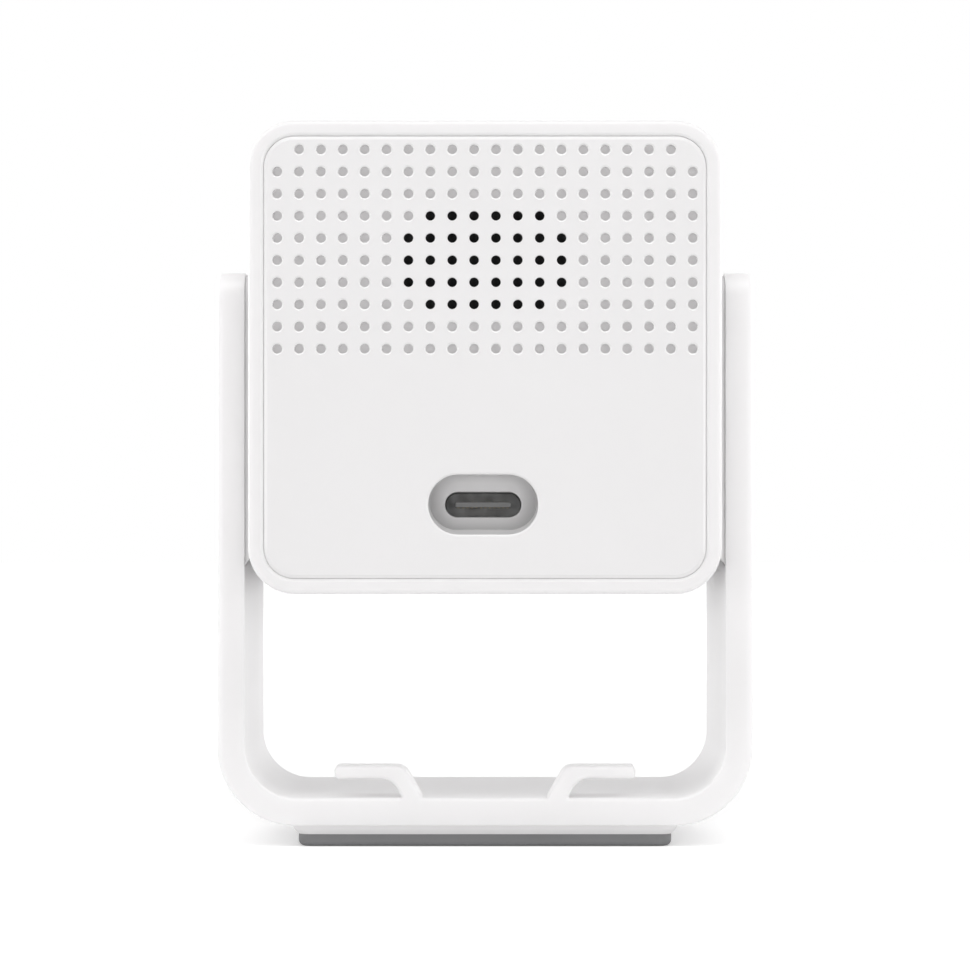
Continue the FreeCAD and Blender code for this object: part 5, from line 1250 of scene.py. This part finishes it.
# %% [markdown]
# ## Window, ring and lens
#
# The front is dominated by a round window of glossy black plastic. It looks opaque, but infrared light
# passes through, and in a good light the eight lamps behind it show as eight faint round spots. A white ring
# frames it. The lens looks out through the window's hole: a matt black barrel whose mouth is stepped like
# a tiny amphitheatre, which traps stray light, then a thick front element with a coating that reflects
# violet, a second element that reflects green, and an iris with its round opening.

# %% Materials of the window and the lens
LED_RING, LED_SPOT_R, SPOT_CORE, FIRST_LED, EIGHTH = 11.7, 1.75, 0.8, math.radians(22.5), math.pi / 4


def window_plastic():
    """Glossy black, with eight faint spots. Folding the angle into one eighth of a turn draws all eight.

    With turn folded to -22.5 to 22.5 degrees, a spot is where (r cos - ring, r sin) is short."""
    recipe = new_material("window_black")
    place, maths = recipe.place(), recipe.maths
    apart = recipe.add("SeparateXYZ", place).outputs
    across, up = apart["X"], maths("SUBTRACT", apart["Z"], PIVOT_Z * MM)
    reach = recipe.length(across, up)
    turn = maths("ADD", maths("SUBTRACT", maths("ARCTAN2", up, across), FIRST_LED), EIGHTH / 2)
    folded = maths("SUBTRACT", maths("FLOORED_MODULO", turn, EIGHTH), EIGHTH / 2)
    along = maths("SUBTRACT", maths("MULTIPLY", reach, maths("COSINE", folded)), LED_RING * MM)
    away = recipe.length(along, maths("MULTIPLY", reach, maths("SINE", folded)))
    ends = {"start": LED_SPOT_R * MM, "end": LED_SPOT_R * MM * SPOT_CORE}
    spot = recipe.spread(away, 0.0, 1.0, **ends, interpolation_type="SMOOTHSTEP")
    return recipe.principled(
        Base_Color=recipe.tinted(spot, (0.006, 0.006, 0.0065), (0.017, 0.015, 0.017)),
        Roughness=recipe.varied(place, 60.0, 0.035, 0.075),
        Normal=recipe.relief(recipe.noise(place, 350.0, 1.0), 0.0000015),
        Specular_IOR_Level=0.3,
    )


def coated_glass(name, colour=(1.0, 1.0, 1.0), coating=(1.0, 1.0, 1.0), roughness=0.0, ior=1.52, clear=1.0):
    """Clear glass or plastic. The coating tints what it reflects; its gloss drifts by a trace."""
    recipe = new_material(name)
    place = recipe.place()
    cloud = recipe.varied(place, 120.0, 0.0, 1.0)
    return recipe.principled(
        Base_Color=recipe.tinted(cloud, shaded(colour, 0.985), colour),
        Roughness=recipe.varied(place, 260.0, roughness, roughness + 0.02),
        IOR=ior, Transmission_Weight=clear, Specular_Tint=(*coating, 1.0),
    )


window_finish = window_plastic()
ring_finish = moulded("ring_white", (0.82, 0.82, 0.825), roughness=0.3, grain=0.0000008)
barrel_finish = moulded("barrel_black", (0.012, 0.012, 0.0125), roughness=0.55, grain=0.000004, drift=0.8)
iris_finish = moulded("iris_black", (0.01, 0.01, 0.011), roughness=0.4, grain=0.000002, drift=0.8)
front_glass = coated_glass("lens_glass", coating=(0.62, 0.45, 1.0))
inner_glass = coated_glass("inner_lens_glass", coating=(0.35, 1.0, 0.7))
pipe_finish = coated_glass("light_pipe_clear", colour=(0.9, 0.92, 0.9), roughness=0.3, ior=1.49, clear=0.75)

# %% Window, ring, barrel, lens and light pipe
WINDOW_HOLE, WINDOW_R, WINDOW_SUNK, GLUE = 7.4, 16.95, 0.2, 0.02
RING_R, RING_PLAY, RING_PROUD, RING_FALL = 17.95, 0.05, 0.4, 0.3
BARREL_R, BARREL_HEAD_R, BARREL_MOUTH, LENS_SEAT_R, THROAT_R, REAR_R = 6.0, 7.0, 5.92, 5.25, 3.2, 4.2
BARREL_END, REAR_AT, THROAT_AT, HEAD_AT, LENS_AT, BARREL_TOP = 9.4, 11.4, 20.4, 22.6, 24.2, 25.4
TREADS, TREAD, RISER = 4, 0.16, 0.28
window_face, ring_face = CASE_FRONT - WINDOW_SUNK, CASE_FRONT + RING_PROUD
glued = CASE_FRONT - SEAT_DEEP + GLUE

window = Skin()
closed_ring(window, FRONT, [
    (WINDOW_HOLE, glued), (WINDOW_R, glued), (WINDOW_R, window_face, 0.15), (WINDOW_HOLE, window_face, 0.2),
], around=128)
window.piece("dark_window", "head", "window_black", ["front_window"], [window_finish])

ring = Skin()
closed_ring(ring, FRONT, [
    (WINDOW_R + RING_PLAY, glued), (RING_R, glued), (RING_R, ring_face, 0.3),
    (WINDOW_R + RING_FALL, ring_face, 0.12), (WINDOW_R + RING_PLAY, window_face + 0.1),
], around=128)
ring.piece("window_ring", "head", "ring_white", ["front_ring"], [ring_finish])

levels = [(tread, BARREL_TOP - (tread + way) * RISER) for tread in range(TREADS) for way in (0, 1)]
stairs = [(BARREL_MOUTH - tread * TREAD, level) for tread, level in levels]
barrel = Skin()
closed_ring(barrel, FRONT, [
    (REAR_R, BARREL_END), (BARREL_R, BARREL_END), (BARREL_R, HEAD_AT), (BARREL_HEAD_R, HEAD_AT),
    (BARREL_HEAD_R, BARREL_TOP, 0.3), *stairs, (LENS_SEAT_R, LENS_AT), (LENS_SEAT_R, THROAT_AT),
    (THROAT_R, THROAT_AT), (THROAT_R, REAR_AT), (REAR_R, REAR_AT),
])
barrel.piece("ribbed_barrel", "head", "barrel_black", ["lens_barrel"], [barrel_finish])

iris = Skin()
for profile in (
    [(1.15, 16.6), (THROAT_R, 16.4), (THROAT_R, 17.0), (1.15, 16.75)],
    [(2.75, 17.6), (THROAT_R, 17.6), (THROAT_R, THROAT_AT), (2.95, THROAT_AT)],
):
    closed_ring(iris, FRONT, profile, around=72)
iris.piece("iris", "head", "barrel_black", [], [iris_finish])


def lens_dome(skin, radius, back, top, bulge_r):
    """A disc whose front is part of a sphere: height = top - bulge + sqrt(bulge^2 - r^2)."""
    widest = math.asin(radius / bulge_r)
    lean = np.linspace(widest, 0, 20)
    facing = np.stack([np.sin(lean), np.cos(lean)], 1)
    dome = (facing * bulge_r + [0.0, top - bulge_r], facing)
    edge = rounded_path([(0, back), (radius, back), (radius, dome[0][0, 1])])
    skin.carry(FRONT, circle(0.0, steps=96), [*edge, dome])


front_lens = Skin()
lens_dome(front_lens, radius=5.2, back=20.42, top=24.8, bulge_r=7.2)
front_lens.piece("front_element", "head", "lens_glass", ["front_lens"], [front_glass])
inner_lens = Skin()
lens_dome(inner_lens, radius=2.7, back=17.7, top=19.6, bulge_r=3.6)
inner_lens.piece("inner_element", "head", "lens_glass", [], [inner_glass])

PIPE_R, COLLAR_R, PIPE_END, PIPE_SUNK = 0.8, 1.4, 21.8, 0.02
pipe = Skin()
collar, pipe_tip = CASE_FRONT - FRONT_WALL, CASE_FRONT - PIPE_SUNK
turned(pipe, FRONT, [
    (0, PIPE_END), (PIPE_R, PIPE_END), (PIPE_R, collar - 1), (COLLAR_R, collar - 1), (COLLAR_R, collar),
    (PIPE_R, collar), (PIPE_R, pipe_tip, 0.12), (0, pipe_tip),
], (-SIGNAL_X, -SIGNAL_DOWN), 40)
pipe.piece("status_light_tip", "head", "light_pipe_clear", ["light_pipe"], [pipe_finish])

# %% [markdown]
# ## Power socket and reset button
#
# The power socket is a drawn steel shell, nickel-plated and dull from the stamping. In the picture it is the
# darkest thing on the back: light gets in only from the front, and what comes back has touched its walls
# several times. Inside it a flat tongue of black plastic carries a row of gilded contacts on either side.
# The reset button is a small grey plug in the head's underside.

# %% Metals
METAL_DRIFT, MARKS_PER_METRE = 0.9, 900.0


def metal(name, colour, roughness, grain=0.0000012, stretch=(1.0, 1.0, 1.0)):
    """Bare or plated metal: drifting tone and gloss, with fine marks drawn out along one direction."""
    recipe = new_material(name)
    place = recipe.place()
    drawn = recipe.add("Mapping", Vector=place, Scale=stretch).outputs["Vector"]
    cloud = recipe.varied(place, 140.0, 0.0, 1.0)
    low, high = roughness * 0.8, min(roughness * 1.2, 1.0)
    return recipe.principled(
        Metallic=1.0,
        Base_Color=recipe.tinted(cloud, shaded(colour, METAL_DRIFT), colour),
        Roughness=recipe.varied(drawn, MARKS_PER_METRE, low, high, detail=4.0),
        Normal=recipe.relief(recipe.noise(drawn, MARKS_PER_METRE * 4, 2.0), grain),
    )


socket_finish = metal("socket_steel", (0.27, 0.27, 0.27), 0.4, stretch=(1.0, 0.15, 1.0))
contact_finish = metal("contact_gold", (0.7, 0.56, 0.32), 0.3)
tongue_finish = moulded("tongue_black", (0.215, 0.215, 0.215), roughness=0.42, grain=0.0000015, drift=0.9)
button_finish = moulded("button_grey", (0.5, 0.5, 0.51), roughness=0.5)
print("the contacts are", contact_finish.name, "on", tongue_finish.name)

# %% Socket, tongue and button
CAN_LONG, CAN_WALL, CAN_SUNK, TONGUE_LONG, TONGUE_WIDE, TONGUE_THICK = 7.3, 0.3, 0.05, 6.6, 6.2, 0.62
CONTACTS, CONTACT_STEP, CONTACT_WIDE, CONTACT_HIGH, CONTACT_FROM, CONTACT_TO = 12, 0.5, 0.26, 0.05, 5.2, 2.2
socket_face = CASE_BACK - PORT_DEEP - PORT_FLOOR - CAN_SUNK
socket_end = socket_face - CAN_LONG
socket_bottom = socket_end + CAN_WALL

socket = Skin()
can = stadium(SOCKET_LONG + 2 * CAN_WALL, SOCKET_TALL + 2 * CAN_WALL, PORT_AT)
socket.carry(BACK, can, rounded_path([
    (0, socket_end), (0, socket_face, 0.1), (-CAN_WALL, socket_face, 0.1), (-CAN_WALL, socket_bottom),
]))
socket.fill(BACK, socket_bottom, [offset(can, -CAN_WALL)])
socket.fill(BACK, socket_end, [can[0]], out=-1)
socket.piece("socket_shell", "head", "socket_steel", ["usb_shell"], [socket_finish])

tongue = Skin()
tongue_tip = socket_bottom + TONGUE_LONG
outline = rounded_rectangle(TONGUE_WIDE, TONGUE_THICK, 0.14, PORT_AT)
block(tongue, BACK, outline, socket_bottom, tongue_tip, edge=0.1)
for place in range(CONTACTS):
    for way in (-1, 1):
        aside = (place - (CONTACTS - 1) / 2) * CONTACT_STEP
        centre = (PORT_ASIDE + aside, way * TONGUE_THICK / 2 - PORT_DOWN)
        contact = rounded_rectangle(CONTACT_WIDE, CONTACT_HIGH, 0.01, centre, steps=2)
        block(tongue, BACK, contact, tongue_tip - CONTACT_FROM, tongue_tip - CONTACT_TO, finish=1)
tongue.piece("socket_tongue", "head", "part_black", ["usb_tongue"], [tongue_finish, contact_finish])

STEM_R, STEM_TOP, FLANGE_WIDE, FLANGE_HIGH, PLUG_R, PLUG_LONG = 1.1, 22.0, 3.0, 0.75, 2.0, 1.6
button = Skin()
flange_under = HEAD / 2 - SHELL_WALL - 0.05
flange_top, plug_face = flange_under - FLANGE_HIGH, flange_under + PLUG_LONG
turned(button, UNDER, [
    (0, STEM_TOP), (STEM_R, STEM_TOP), (STEM_R, flange_top), (FLANGE_WIDE, flange_top),
    (FLANGE_WIDE, flange_under), (PLUG_R, flange_under), (PLUG_R, plug_face, 0.25), (0, plug_face),
], (0, BUTTON_AHEAD), 64)
button.piece("reset_plug", "reset_button", "button_grey", ["reset_button"], [button_finish])

# %% [markdown]
# ## Finishes of the parts inside
#
# What stays from the frame is inside the case: the speaker, the boards, the heat sink, the filter, the
# screws and the leads. None of it shows in the photograph, but it shows as soon as somebody takes the case
# off, so each gets the finish of the real thing: green lacquer with copper tracks showing through, bright
# tin, brushed aluminium, black moulded plastic, woven cloth behind the speaker's holes.

# %% Cloth, lacquered board and the table of finishes
WEAVE_SCALE = 260.0      # a wave repeats every pi / (10 * scale) metres, which is 1.2 mm
WEAVE_HIGH, TRACKS_SCALE, TRACK_WIDE, TRACK_HIGH = 0.00003, 320.0, 0.03, 0.000015


def woven(name, colour):
    """A plain weave: two sets of thread waves, multiplied to raise every other crossing."""
    recipe = new_material(name)
    threads = {"Vector": recipe.place(), "Scale": WEAVE_SCALE, "Distortion": 0.4}
    waves = [recipe.add("TexWave", bands_direction=way, **threads).outputs["Fac"] for way in ("X", "Z")]
    crossing = recipe.maths("MULTIPLY", *waves)
    return recipe.principled(
        Base_Color=recipe.tinted(crossing, shaded(colour, 0.5), colour),
        Roughness=0.85,
        Normal=recipe.relief(crossing, WEAVE_HIGH),
    )


def lacquered_board():
    """Green lacquer over copper: the tracks are slightly raised and shine through a little lighter."""
    recipe = new_material("board_green")
    place = recipe.place()
    tracks = {"Vector": place, "Scale": TRACKS_SCALE, "Mortar_Size": TRACK_WIDE}
    tracks = recipe.add("TexBrick", **tracks).outputs["Fac"]
    return recipe.principled(
        Base_Color=recipe.tinted(tracks, (0.012, 0.12, 0.06), (0.03, 0.22, 0.11)),
        Roughness=recipe.varied(place, 400.0, 0.22, 0.38),
        Normal=recipe.relief(tracks, TRACK_HIGH),
    )


black = moulded("part_black", (0.03, 0.03, 0.031), roughness=0.45, drift=0.85)
foam = moulded("foam_black", (0.03, 0.03, 0.03), roughness=0.9, grain=0.00008, drift=0.6)
screw_steel = metal("screw_steel", (0.55, 0.54, 0.52), 0.3)
cable = moulded("cable_black", (0.03, 0.03, 0.031), roughness=0.38, grain=0.000003, drift=0.85)
hub_steel = metal("hub_steel", (0.55, 0.54, 0.53), 0.28)
shield_steel = metal("shield_steel", (0.6, 0.6, 0.59), 0.3)
board = lacquered_board()
led_clear = coated_glass("led_clear", colour=(0.8, 0.82, 0.85), roughness=0.08, ior=1.49, clear=0.6)
inside_finishes = {
    "speaker_mesh": woven("speaker_cloth", (0.05, 0.05, 0.05)),
    "speaker_gasket": foam, "light_baffle": foam, "mic_boot": foam,
    "speaker_frame": black, "speaker_clamp": black, "lens_mount": black, "tact_switch": black,
    "switch_plunger": black, "filter_tray": black,
    "speaker_cone": moulded("cone_black", (0.03, 0.03, 0.03), roughness=0.8, grain=0.00001, drift=0.7),
    "speaker_magnet": metal("magnet_steel", (0.5, 0.5, 0.5), 0.22),
    "rear_lens": front_glass,
    "filter_coil": metal("coil_copper", (0.7, 0.4, 0.25), 0.3, grain=0.00001, stretch=(0.05, 1.0, 1.0)),
    "image_sensor": coated_glass(
        "sensor_glass", colour=(0.12, 0.16, 0.2), coating=(0.5, 0.7, 1.0), clear=0.3,
    ),
    "soc_shield": shield_steel, "microphone": shield_steel,
    "thermal_pad": moulded("pad_grey", (0.42, 0.42, 0.45), roughness=0.7, grain=0.00001),
    "heat_sink": metal("heat_sink_aluminium", (0.72, 0.72, 0.73), 0.38, stretch=(1.0, 1.0, 0.05)),
    "inner_frame": moulded("frame_white", (0.75, 0.75, 0.745)),
    "ir_leds": led_clear, "status_led": led_clear,
    "ribbon_cable": moulded("ribbon_white", (0.8, 0.8, 0.79), roughness=0.35, grain=0.000003),
    "power_cable": cable, "antenna_cable": cable,
    "wifi_antenna": metal("antenna_copper", (0.7, 0.45, 0.3), 0.3),
    "ir_cut_glass": coated_glass("ir_cut_blue", colour=(0.45, 0.75, 0.9), coating=(1.0, 0.45, 0.5)),
    "clear_glass": coated_glass("clear_glass", coating=(0.7, 0.8, 1.0)),
    "left_pivot_hub": hub_steel, "right_pivot_hub": hub_steel,
    "disc_springs": hub_steel, "pivot_washers": hub_steel,
    "main_board": board, "led_board": board, "usb_board": board,
}
inside_finishes.update({node: screw_steel for node in frame["nodes"] if node.endswith("screws")})
for node, finish in inside_finishes.items():
    materials = frame["nodes"][node].data.materials
    materials.clear()
    materials.append(finish)
print(len(inside_finishes), "parts of the frame have their finish")

# %% [markdown]
# ## Do the looks still fit the construction?
#
# The frame's own box was measured before anything was drawn. The pieces that are seen now must fill the same
# box, so both are put side by side, in metres, and their largest difference is printed in millimetres.

# %% Both boxes, and the end
def as_lists(box):
    return [[float(value) for value in corner] for corner in box]


boxes = {"cad": as_lists(cad_box), "visual": as_lists(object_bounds())}
proud = np.abs(np.array(boxes["visual"]) - np.array(boxes["cad"])).max() / MM
print(f"the looks and the frame differ by {proud:.3f} mm at most")
